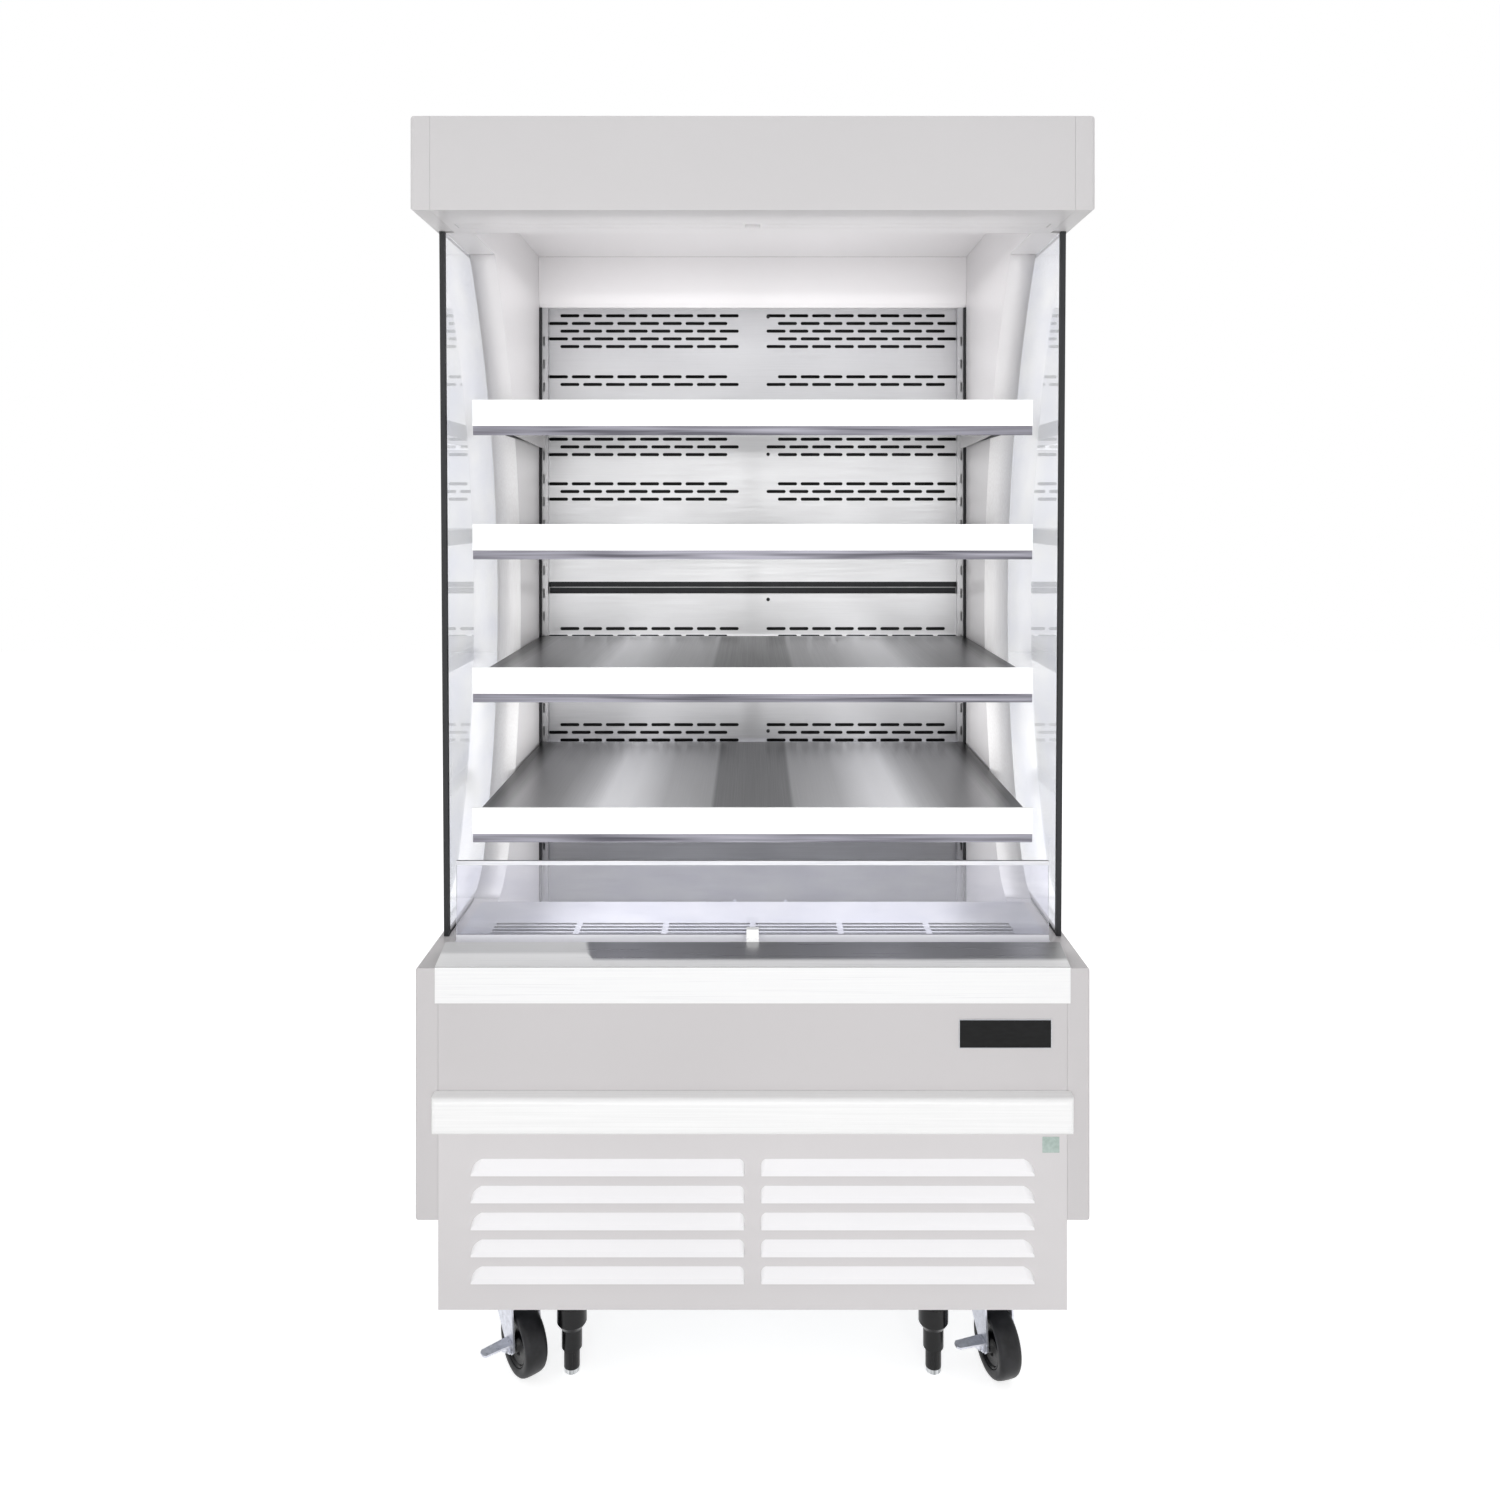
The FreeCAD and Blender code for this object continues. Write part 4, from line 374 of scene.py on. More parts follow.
def levelling_foot_zinc_and_nylon(tree, place):
    """Levelling foot: a bright zinc-plated end below a black nylon collar with fine moulding flutes."""
    height = node(tree, "ShaderNodeSeparateXYZ", {"Vector": place}, out="Z")
    plated = node(tree, "ShaderNodeMath", {0: height, 1: COLLAR_FOOT}, operation="LESS_THAN")
    along = node(tree, "ShaderNodeMapping", {"Vector": place, "Scale": (260, 260, 6)})
    flutes = node(tree, "ShaderNodeTexNoise", {"Vector": along, **FINE_LINES})
    nylon = node(tree, "ShaderNodeValToRGB", {"Fac": flutes}, stops=((0.35, "#070708"), (0.7, "#1C1C1E")))
    zinc = node(tree, "ShaderNodeValToRGB", {"Fac": flutes}, stops=((0.3, "#9A9C9E"), (0.7, "#E8EAEC")))
    return {
        "Base Color": node(tree, "ShaderNodeMix", {0: plated, 6: nylon, 7: zinc}, out=2, data_type="RGBA"),
        "Metallic": plated,
        "Roughness": node(tree, "ShaderNodeMapRange", {"Value": flutes, "To Min": 0.2, "To Max": 0.34}),
        "Specular IOR Level": 0.3,
    }


def galvanised_sheet(tree, place):
    """Hot-dip galvanised sheet of the chassis: dull grey with a spangle about 12 mm across."""
    crystals = node(tree, "ShaderNodeTexVoronoi", {"Vector": place, "Scale": 1 / (12 * MM)}, out="Color")
    grey = node(tree, "ShaderNodeRGBToBW", {"Color": crystals})
    greys = ((0.2, "#A2A5A8"), (0.8, "#BABDC0"))
    return {
        "Base Color": node(tree, "ShaderNodeValToRGB", {"Fac": grey}, stops=greys),
        "Metallic": 0.85,
        "Roughness": node(tree, "ShaderNodeMapRange", {"Value": grey, "To Min": 0.4, "To Max": 0.56}),
    }


def tyre_rubber(tree, place):
    """Moulded rubber tyre: nearly black, dulled by dust in patches, with a fine pebble.

    The pebble is 0.3 mm wide on the real tyre and is drawn 1.1 mm wide."""
    dust = node(tree, "ShaderNodeTexNoise", {"Vector": place, "Scale": 45, "Detail": 3.0, "Roughness": 0.6})
    pebble = node(tree, "ShaderNodeTexNoise", {"Vector": place, "Scale": 900, "Detail": 1.0})
    blacks = ((0.35, "#151517"), (0.75, "#29292C"))
    return {
        "Base Color": node(tree, "ShaderNodeValToRGB", {"Fac": dust}, stops=blacks),
        "Roughness": node(
            tree, "ShaderNodeMapRange", {"Value": dust, **MIDDLE, "To Min": 0.36, "To Max": 0.52}
        ),
        "Normal": node(tree, "ShaderNodeBump", {"Height": pebble, "Distance": 0.1 * MM, "Strength": 0.3}),
        "IOR": 1.52, "Specular IOR Level": 0.3,
    }


def black_nylon(tree, place):
    """Moulded black nylon: satin, with a spark-eroded grain of 0.4 mm drawn 1.7 mm wide."""
    return grained(
        tree, place, (600, 600, 600), ("#060607", "#0E0E10"), gloss=(0.2, 0.3), relief=(0.08, 0.25),
        IOR=1.53, Specular_IOR_Level=0.3
    )


def black_enamel(tree, place):
    """Stoved black enamel on steel: glossy, with a slow ripple 11 mm across."""
    return grained(
        tree, place, (90, 90, 90), ("#101113", "#1A1B1E"), gloss=(0.2, 0.3), relief=(0.2, 0.25),
        Coat_Weight=0.3, Coat_Roughness=0.12
    )


def mill_aluminium(tree, place, dark, light):
    """Mill-finish aluminium as it leaves the rolls: soft silver with rolling lines 2.5 mm apart."""
    return grained(
        tree, place, (6, 400, 400), (dark, light), gloss=(0.3, 0.46), spread=MIDDLE, detail=2.0, fine=0.6,
        Metallic=1.0
    )


def tempered_glass(tree, place):
    """Clear tempered float glass, 6 mm thick: colourless, with a cool cast that comes and goes."""
    tall = node(tree, "ShaderNodeMapping", {"Vector": place, "Scale": (6, 6, 14)})
    haze = node(tree, "ShaderNodeTexNoise", {"Vector": tall, "Scale": 1.0, "Detail": 2.0})
    casts = ((0.3, "#F0F2FA"), (0.7, "#FBFCFE"))
    return {
        "Base Color": node(tree, "ShaderNodeValToRGB", {"Fac": haze}, stops=casts),
        "Roughness": 0.0, "IOR": 1.5, "Transmission Weight": 1.0,
    }


def clear_acrylic(tree, place):
    """Cast acrylic of the guard: clear, with a lilac cast and a slight haze from wiping."""
    return grained(
        tree, place, (9, 9, 30), ("#E8E8F2", "#F6F6FC"), gloss=(0.0, 0.03), spread=MIDDLE, detail=3.0,
        fine=0.6, IOR=1.49, Transmission_Weight=0.84
    )


def polished_acrylic_edge(tree, place):
    """Flame-polished edge of the acrylic guard, which catches light; it is drawn nearly white and mostly
    opaque as a painted highlight.
    """
    return grained(
        tree, place, (12, 300, 300), ("#E9EAF0", "#F8F8FC"), gloss=(0.1, 0.2),
        IOR=1.49, Transmission_Weight=0.25
    )


def glazing_rubber(tree, place):
    """Extruded black glazing rubber: matt, with faint draw lines 1.1 mm apart."""
    return grained(
        tree, place, (900, 900, 12), ("#141517", "#232427"), gloss=(0.55, 0.68), relief=(0.1, 0.2), IOR=1.52
    )


RIB_SPACING = 3 * MM
COVER_GLOW = 1.2


def opal_polycarbonate(tree, place):
    """Lit opal polycarbonate lamp cover: milky white, with ribs 3 mm apart across its length."""
    waves = {"Vector": place, "Scale": 1 / RIB_SPACING / math.tau}
    ribs = node(tree, "ShaderNodeTexWave", waves, out="Fac", bands_direction="X")
    whites = ((0.2, "#E6E9EE"), (0.8, "#F6F8FB"))
    return {
        "Base Color": node(tree, "ShaderNodeValToRGB", {"Fac": ribs}, stops=whites),
        "Roughness": 0.3,
        "Normal": node(tree, "ShaderNodeBump", {"Height": ribs, "Distance": 0.3 * MM, "Strength": 0.3}),
        "IOR": 1.58, "Emission Color": paint("#F4F8FF"), "Emission Strength": COVER_GLOW,
    }


def air_straightener_styrene(tree, place):
    """Moulded styrene air straightener: white and matt, faintly mottled."""
    return grained(tree, place, (60, 60, 60), ("#E9E9EA", "#F2F2F3"), gloss=(0.45, 0.56), IOR=1.59)


THREAD_SPACING = 3 * MM


def blind_cloth(tree, place):
    """Aluminised night-blind cloth, plain woven: silver-grey, threads 0.6 mm apart drawn 3 mm apart."""
    threads = {"Vector": place, "Scale": 1 / THREAD_SPACING / math.tau, "Distortion": 0.4}
    warp = node(tree, "ShaderNodeTexWave", threads, out="Fac", bands_direction="X")
    weft = node(tree, "ShaderNodeTexWave", threads, out="Fac", bands_direction="Z")
    weave = node(tree, "ShaderNodeMath", {0: warp, 1: weft}, operation="MULTIPLY")
    greys = ((0.1, "#A6A8AD"), (0.9, "#CFD1D6"))
    return {
        "Base Color": node(tree, "ShaderNodeValToRGB", {"Fac": weave}, stops=greys),
        "Metallic": 0.35,
        "Roughness": node(tree, "ShaderNodeMapRange", {"Value": weave, "To Min": 0.56, "To Max": 0.44}),
        "Normal": node(tree, "ShaderNodeBump", {"Height": weave, "Distance": 0.3 * MM, "Strength": 0.4}),
    }


def black_plate_lacquer(tree, place):
    """Satin black lacquer of the bare name plate, with faint wiping marks."""
    return grained(
        tree, place, (60, 60, 220), ("#060607", "#101112"), gloss=(0.32, 0.45), detail=2.0,
        Specular_IOR_Level=0.2
    )


def pale_film(tree, place):
    """Plain self-adhesive film patch: pale grey-green and satin, with a mottle 5 mm across."""
    return grained(
        tree, place, (180, 180, 180), ("#A6B7B0", "#B9C8C2"), gloss=(0.35, 0.46), detail=2.0, IOR=1.48
    )


PAINT_TOP = 0.6882
PAINT_STEP = 3.8 * MM
PAINT_BLUR = 1.0 * MM
# painted shadow: a thin grey line drawn at the top of the white face, under the fold
FOLD_LOW = 0.6788
FOLD_HIGH = 0.6800
# painted reflection: left of this slant the strip is drawn pale and not metallic, and the white reaches
# PAINT_STEP higher
GLARE_TO = 0.562
GLARE_END = 0.570


def deck_rail_paint_and_steel(tree, place):
    """Deck rail: white painted face and nose with a thin grey painted shadow under the fold, and a bare
    brushed strip up to the guard.

    At its left end the strip carries a painted reflection: it is drawn pale and not metallic there, and the
    white reaches higher."""
    height = node(tree, "ShaderNodeSeparateXYZ", {"Vector": place}, out="Z")
    sideways = node(tree, "ShaderNodeSeparateXYZ", {"Vector": place}, out="X")
    along = node(tree, "ShaderNodeMapping", {"Vector": place, "Scale": (4, 500, 500)})
    marks = node(tree, "ShaderNodeTexNoise", {"Vector": along, **BRUSH_MARKS})
    slant = node(tree, "ShaderNodeMath", {0: height, 1: 1.2, 2: sideways}, operation="MULTIPLY_ADD")
    # painted reflection at the left end of the strip
    unglared = node(tree, "ShaderNodeMapRange", {"Value": slant, "From Min": GLARE_TO, "From Max": GLARE_END})
    edge = node(tree, "ShaderNodeMath", {0: unglared, 1: PAINT_STEP, 2: height}, operation="MULTIPLY_ADD")
    blurred = {"Value": edge, "From Min": PAINT_TOP - PAINT_BLUR, "From Max": PAINT_TOP + PAINT_BLUR}
    bare = node(tree, "ShaderNodeMapRange", blurred)
    brushed = node(tree, "ShaderNodeMath", {0: marks, 1: 0.08, 2: unglared}, operation="MULTIPLY_ADD")
    greys = ((0.0, "#D6D6D7"), (0.4, "#C4C4C5"), (0.9, "#ABABAC"))
    steel = node(tree, "ShaderNodeValToRGB", {"Fac": brushed}, stops=greys)
    above = node(tree, "ShaderNodeMath", {0: height, 1: FOLD_LOW}, operation="GREATER_THAN")
    below = node(tree, "ShaderNodeMath", {0: height, 1: FOLD_HIGH}, operation="LESS_THAN")
    fold = node(tree, "ShaderNodeMath", {0: above, 1: below}, operation="MULTIPLY")
    face = node(tree, "ShaderNodeValToRGB", {"Fac": marks}, stops=((0.3, "#F6F6F7"), (0.7, "#FBFBFB")))
    line = paint("#A9A9AA")
    white = node(tree, "ShaderNodeMix", {0: fold, 6: face, 7: line}, out=2, data_type="RGBA")
    return {
        "Base Color": node(tree, "ShaderNodeMix", {0: bare, 6: white, 7: steel}, out=2, data_type="RGBA"),
        "Metallic": node(tree, "ShaderNodeMath", {0: bare, 1: unglared}, operation="MULTIPLY"),
        "Roughness": node(
            tree, "ShaderNodeMapRange", {"Value": marks, **MIDDLE, "To Min": 0.26, "To Max": 0.36}
        ),
    }


FINISH = {
    "head": made_finish(powder_coat, "#D3D1D2", "#CFCDCE", name="head_powder_coat"),
    # painted light: the soffit, ceiling and cover take a paler copy of the head's powder coat, lifting their
    # shaded undersides
    "soffit": made_finish(powder_coat, "#DAD8D9", "#D6D4D5", name="soffit_lit_powder_coat"),
    "body": made_finish(powder_coat, "#D1CECF", "#CDCACB", name="body_powder_coat"),
    "deck_rail": made_finish(deck_rail_paint_and_steel),
    "louvre": made_finish(louvre_powder_coat),
    "liner": made_finish(liner_enamel),
    "duct": made_finish(liner_and_duct),
    "vinyl_strip": made_finish(breaker_strip_vinyl),
    "vinyl_rail": made_finish(white_rail_vinyl),
    "back_steel": made_finish(rear_panel_stainless),
    "steel": made_finish(pan_stainless),
    "shelf": made_finish(shelf_stainless),
    "zinc": made_finish(zinc_plate),
    "foot": made_finish(levelling_foot_zinc_and_nylon),
    "galvanised": made_finish(galvanised_sheet),
    "tyre": made_finish(tyre_rubber),
    "nylon": made_finish(black_nylon),
    "enamel": made_finish(black_enamel),
    "aluminium": made_finish(mill_aluminium, "#B4B6BA", "#D0D2D6"),
    "fins": made_finish(mill_aluminium, "#9FA2A6", "#C4C7CB", name="fin_aluminium"),
    "glass": made_finish(tempered_glass),
    "acrylic": made_finish(clear_acrylic),
    "edge": made_finish(polished_acrylic_edge),
    "rubber": made_finish(glazing_rubber),
    "lamp": made_finish(opal_polycarbonate),
    "styrene": made_finish(air_straightener_styrene),
    "cloth": made_finish(blind_cloth),
    "plate": made_finish(black_plate_lacquer),
    "film": made_finish(pale_film),
}

# where each caster swivels, and how far it is turned at rest
CASTERS = {
    "front_left": (-0.3875, -0.322, 38),
    "front_right": (0.3875, -0.322, 16),
    "rear_left": (-0.3875, 0.337, 16),
    "rear_right": (0.3875, 0.337, 16),
}
SHELVES = range(1, 5)

FINISHED_NODES = {
    "duct": ["insulated_body"],
    "liner": ["side_wall_left", "side_wall_right", "shelf_brackets"],
    "glass": ["side_glass_left", "side_glass_right"],
    "head": ["head_cap_left", "head_cap_right", "head_fascia"],
    "soffit": ["head_soffit", "ceiling_panel", "upper_back_cover", "blind_pull_bar"],
    "body": ["end_panel_left", "end_panel_right", "front_panel", "rear_service_panel"],
    "foot": ["levelling_foot_left", "levelling_foot_right"],
    "aluminium": ["blind_roller"],
    "cloth": ["blind_film"],
    "lamp": ["led_lamp"],
    "styrene": ["air_honeycomb"],
    "back_steel": ["rear_panel_upper", "rear_panel_lower", "shelf_uprights"],
    "steel": ["deck_pan", "return_grille"],
    "acrylic": ["breath_guard"],
    "deck_rail": ["deck_rail"],
    "louvre": ["louvre_panel"],
    "galvanised": ["base_frame"],
    "nylon": ["leg_sleeves", "condenser_fan", "evaporator_fan"],
    "fins": ["evaporator_coil", "condenser_coil"],
    "enamel": ["fan_motors", "compressor"],
    "shelf": ["shelf_%d" % number for number in SHELVES],
    "vinyl_rail": ["blind_catch", "bumper_rail"] + ["price_rail_%d" % number for number in SHELVES],
    "tyre": ["caster_wheel_" + corner for corner in CASTERS],
    "zinc": ["control_box", "brake_lever_front_left", "brake_lever_front_right"]
    + ["caster_fork_" + corner for corner in CASTERS],
}
for finish, names in FINISHED_NODES.items():
    for name in names:
        part = NODES[name]
        part.data.materials.clear()
        part.data.materials.append(FINISH[finish])


# ---------------------------------------------------------------- shapes

CREASE = math.radians(35)


def finished(name, shape, finish, body, smooth=False):
    """Turns a bmesh into a piece with its finish, riding on a body, or on none when none is given."""
    mesh = bpy.data.meshes.new(name)
    bmesh.ops.recalc_face_normals(shape, faces=shape.faces)
    if smooth:
        for face in shape.faces:
            face.smooth = True
        for edge in shape.edges:
            edge.smooth = edge.calc_face_angle(0.0) < CREASE
    shape.to_mesh(mesh)
    shape.free()
    piece = bpy.data.objects.new(name, mesh)
    bpy.context.scene.collection.objects.link(piece)
    mesh.materials.append(FINISH[finish])
    if body:
        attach(piece, body)
    return piece


def add_box(shape, low, high, bevel=0.0):
    """Adds a box between two corners, its edges broken by a bevel."""
    made = bmesh.ops.create_cube(shape, size=1.0)["verts"]
    centre = [(a + b) / 2 for a, b in zip(low, high)]
    scale = [b - a for a, b in zip(low, high)]
    bmesh.ops.transform(shape, matrix=Matrix.Translation(centre) @ Matrix.Diagonal((*scale, 1)), verts=made)
    if bevel:
        edges = list({edge for vertex in made for edge in vertex.link_edges})
        bmesh.ops.bevel(shape, geom=edges, offset=bevel, segments=2, affect="EDGES", profile=0.5)


def add_sweep(shape, outline, start, end):
    """Adds a prism: an outline of (x, y, z) offsets carried from a start point to an end point."""
    first, last = (
        [shape.verts.new(Vector(place) + Vector(offset)) for offset in outline] for place in (start, end)
    )
    for step in range(len(outline)):
        after = (step + 1) % len(outline)
        shape.faces.new((first[step], first[after], last[after], last[step]))
    shape.faces.new(reversed(first))
    shape.faces.new(last)


def add_turned(shape, profile, sectors, frame_of):
    """Adds a turned body: a profile of (along, radius) about a frame's x axis; a radius of 0 closes it."""
    rows = []
    for along, radius in profile:
        if radius == 0:
            rows.append([shape.verts.new(frame_of @ Vector((along, 0, 0)))])
            continue
        turns = [math.tau * sector / sectors for sector in range(sectors)]
        ring = [Vector((along, radius * math.cos(turn), radius * math.sin(turn))) for turn in turns]
        rows.append([shape.verts.new(frame_of @ point) for point in ring])
    for row, after in zip(rows, rows[1:]):
        for sector in range(sectors):
            other = (sector + 1) % sectors
            if len(row) == 1:
                shape.faces.new((row[0], after[other], after[sector]))
            elif len(after) == 1:
                shape.faces.new((row[sector], row[other], after[0]))
            else:
                shape.faces.new((row[sector], row[other], after[other], after[sector]))
    if len(rows[0]) > 1 and len(rows[-1]) > 1:
        for sector in range(sectors):
            other = (sector + 1) % sectors
            shape.faces.new((rows[-1][sector], rows[-1][other], rows[0][other], rows[0][sector]))


# ---------------------------------------------------------------- glazing seals and edge strips

GLASS_IN = 0.5115
GLASS_OUT = 0.5175
GLASS_TOP = 1.8547
GLASS_FOOT = 0.6773
GLASS_FRONT_TOP = -0.3025
GLASS_FRONT_FOOT = -0.2735
GLASS_BACK = 0.1385
LIP = 1.2 * MM
CHANNEL_DEPTH = 8.5 * MM
FRONT_EDGE_ABOVE = 0.68


def glazing_seal(side, word):
    """Black rubber channel round the glass: front edge, foot and the seam to the wall."""
    shape = bmesh.new()
    inner, outer = GLASS_IN - LIP, GLASS_OUT + LIP
    web = 0.3 * MM
    channel = (
        (inner, -LIP), (outer, -LIP), (outer, CHANNEL_DEPTH), (GLASS_OUT, CHANNEL_DEPTH),
        (GLASS_OUT, web), (GLASS_IN, web), (GLASS_IN, CHANNEL_DEPTH), (inner, CHANNEL_DEPTH),
    )
    foot = (0, GLASS_FRONT_FOOT, GLASS_FOOT + 0.2 * MM)
    head = (0, GLASS_FRONT_TOP, GLASS_TOP - 0.2 * MM)
    add_sweep(shape, [(side * x, y, 0) for x, y in channel], foot, head)
    low, high = sorted((side * (GLASS_OUT - 0.5 * MM), side * (GLASS_OUT + 0.9 * MM)))
    add_box(shape, (low, GLASS_BACK - 2 * MM, GLASS_FOOT), (high, GLASS_BACK + 2 * MM, GLASS_TOP), 0.4 * MM)
    low, high = sorted((side * (GLASS_IN - 1.0 * MM), side * outer))
    front = (low, GLASS_FRONT_FOOT + CHANNEL_DEPTH, GLASS_FOOT + 0.1 * MM)
    add_box(shape, front, (high, GLASS_BACK - 2 * MM, GLASS_FOOT + 3 * MM), 0.5 * MM)
    return finished("glazing_seal_" + word, shape, "rubber", "cabinet")


def wall_edge_strip(word):
    """White vinyl strip over the front edge of a foamed wall, taken from the wall's own curve."""
    shape = bmesh.new()
    shape.from_mesh(NODES["side_wall_" + word].data)
    bmesh.ops.remove_doubles(shape, verts=shape.verts, dist=0.01 * MM)
    others = [
        face for face in shape.faces
        if face.normal.y >= -0.25 or abs(face.normal.x) >= 0.3
        or face.calc_center_median().z <= FRONT_EDGE_ABOVE
    ]
    bmesh.ops.delete(shape, geom=others, context="FACES")
    bmesh.ops.solidify(shape, geom=shape.faces[:], thickness=-LIP)
    return finished("wall_edge_strip_" + word, shape, "vinyl_strip", "cabinet")


GAP_SHADOW_NEAR = (0.4592, 0.2942, 0.5230)
GAP_SHADOW_FAR = (0.4649, 0.2998, 1.8345)


def gap_shadow_strip(side, word):
    """Black rubber strip between the wall and the shelf upright, a dark strip standing in for the shadow in
    that gap.
    """
    shape = bmesh.new()
    low, high = sorted((side * GAP_SHADOW_NEAR[0], side * GAP_SHADOW_FAR[0]))
    add_box(shape, (low, *GAP_SHADOW_NEAR[1:]), (high, *GAP_SHADOW_FAR[1:]), 0.6 * MM)
    return finished("duct_seal_" + word, shape, "rubber", "cabinet")


for side, word in ((-1, "left"), (1, "right")):
    glazing_seal(side, word)
    wall_edge_strip(word)
    gap_shadow_strip(side, word)


GASKET_HALF = 0.4455
GASKET_FRONT = 0.3176
GASKET_BACK = 0.3198
BEAD_HEIGHTS = ((1.2106, 1.2226), (1.2258, 1.2354))


def joint_gaskets():
    """Two black rubber beads in the joint between the rear panels, with a bright gap between them."""
    shape = bmesh.new()
    for low, high in BEAD_HEIGHTS:
        add_box(shape, (-GASKET_HALF, GASKET_FRONT, low), (GASKET_HALF, GASKET_BACK, high), 0.7 * MM)
    return finished("rear_joint_gaskets", shape, "rubber", "cabinet")


joint_gaskets()


# ---------------------------------------------------------------- guard edge and lamp ends

GUARD_FRONT = -0.316
GUARD_BACK = -0.312
GUARD_TOP = 0.8168
GUARD_HALF = 0.487


def guard_edge():
    """Rolled and polished top edge of the guard: a bead with a lip behind it."""
    shape = bmesh.new()
    low, shoulder = GUARD_TOP - 7 * MM, GUARD_TOP - 1.4 * MM
    front, back = GUARD_FRONT - 0.9 * MM, GUARD_BACK + 0.9 * MM
    bead = (
        (front, low), (front, shoulder), (GUARD_FRONT, GUARD_TOP),
        (GUARD_BACK, GUARD_TOP), (back, shoulder), (back, low),
    )
    add_sweep(shape, [(0, y, z) for y, z in bead], (-GUARD_HALF, 0, 0), (GUARD_HALF, 0, 0))
    return finished("guard_top_edge", shape, "edge", "cabinet")


LAMP_HALF = 0.44
CAP_FRONT = -0.2892
CAP_BACK = -0.2652
CAP_FOOT = 1.8615
CAP_TOP = 1.8790


def lamp_ends():
    """Moulded white caps over both ends of the lamp."""
    shape = bmesh.new()
    for side in (-1, 1):
        low, high = sorted((side * (LAMP_HALF - 9 * MM), side * (LAMP_HALF + 1.5 * MM)))
        add_box(shape, (low, CAP_FRONT, CAP_FOOT), (high, CAP_BACK, CAP_TOP), 1.2 * MM)
    return finished("lamp_end_caps", shape, "styrene", "cabinet")


guard_edge()
lamp_ends()


# ---------------------------------------------------------------- casters

TRAIL = 28 * MM
WHEEL_RADIUS = 51 * MM
FORK_OUT = 25 * MM
BORE = 5.06 * MM


def axle_frame(corner):
    """Frame at the middle of a caster's axle, its x axis along the axle."""
    x, y, turn = CASTERS[corner]
    swivel = Matrix.Translation((x, y, 0)) @ Matrix.Rotation(math.radians(turn), 4, "Z")
    return swivel @ Matrix.Translation((0, -TRAIL, WHEEL_RADIUS))


def half_profile(points):
    """Profile of (along, radius) millimetres for one side, mirrored to the other and closed on itself."""
    right = [(along * MM, radius * MM) for along, radius in points]
    return right + [(-along, radius) for along, radius in reversed(right) if along > 0]


def caster_wheel(corner):
    """Rubber tyre with a crowned tread and round shoulders on a dished nylon wheel centre."""
    tread = half_profile((
        (0, 51), (5, 50.96), (10, 50.7), (13.5, 50.1), (16.2, 48.8), (18.1, 46.8), (18.9, 44.2), (18.8, 41),
        (18.2, 37.5), (17.0, 35.6), (15.2, 35.0), (0, 35.0),
    ))
    centre = half_profile((
        (0, 34.9), (14.6, 34.9), (16.2, 34.2), (16.4, 33.2), (15.2, 32.0), (12.6, 30.6), (11.6, 27.5),
        (11.4, 20), (12.2, 16.6), (14.4, 14.6), (17.8, 13.8), (18.9, 12.6), (18.9, 9.2), (18.2, 8.4),
        (18.2, 5.06), (0, 5.06),
    ))
    body = "caster_wheel_" + corner
    for name, profile, finish in (("tyre_", tread, "tyre"), ("wheel_centre_", centre, "nylon")):
        shape = bmesh.new()
        add_turned(shape, profile, 72, axle_frame(corner))
        piece = finished(name + corner, shape, finish, body, smooth=True)
        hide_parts(body)


def caster_nuts(corner):
    """Hexagon nuts with domed ends over both ends of the axle bolt, and a washer under each."""
    shape = bmesh.new()
    at_axle = axle_frame(corner)
    for side in (-1, 1):
        braked = side < 0 and corner.startswith("front")
        seat = FORK_OUT + (3.5 * MM if braked else 0.1 * MM)
        facing = at_axle @ Matrix.Diagonal((side, 1, 1, 1))
        washer = [(seat, BORE), (seat, 9.5 * MM), (seat + 1.4 * MM, 9.5 * MM), (seat + 1.4 * MM, BORE)]
        add_turned(shape, washer, 32, facing)
        nut = [
            (seat + 1.45 * MM, 7.4 * MM), (seat + 5.6 * MM, 7.4 * MM), (seat + 6.5 * MM, 6.2 * MM),
            (seat + 6.5 * MM, 5.5 * MM), (seat + 1.45 * MM, 5.5 * MM),
        ]
        add_turned(shape, nut, 6, facing)
        dome = [
            (seat + 5.9 * MM, 5.4 * MM), (seat + 8.2 * MM, 5.1 * MM), (seat + 10.0 * MM, 3.9 * MM),
            (seat + 11.0 * MM, 2.0 * MM), (seat + 11.2 * MM, 0),
        ]
        add_turned(shape, [(seat + 5.9 * MM, 0)] + dome, 24, facing)
    return finished("axle_nuts_" + corner, shape, "zinc", "caster_fork_" + corner, smooth=True)


def swivel_race(corner):
    """Pressed ball race round the swivel, with the grease gap under its rim."""
    x, y = CASTERS[corner][:2]
    upright = Matrix.Translation((x, y, 0)) @ Matrix.Rotation(math.radians(-90), 4, "Y")
    shape = bmesh.new()
    rim = (
        (113.6, 27.05), (113.6, 29.4), (115.0, 30.6), (117.8, 31.0), (120.6, 30.6), (121.6, 29.6),
        (121.6, 27.05),
    )
    add_turned(shape, [(height * MM, radius * MM) for height, radius in rim], 48, upright)
    return finished("swivel_race_" + corner, shape, "zinc", "caster_fork_" + corner, smooth=True)


for corner in CASTERS:
    caster_wheel(corner)
    caster_nuts(corner)
    swivel_race(corner)


# ---------------------------------------------------------------- night blind

BLIND_ROWS = 32  # rows of faces down the run of cloth


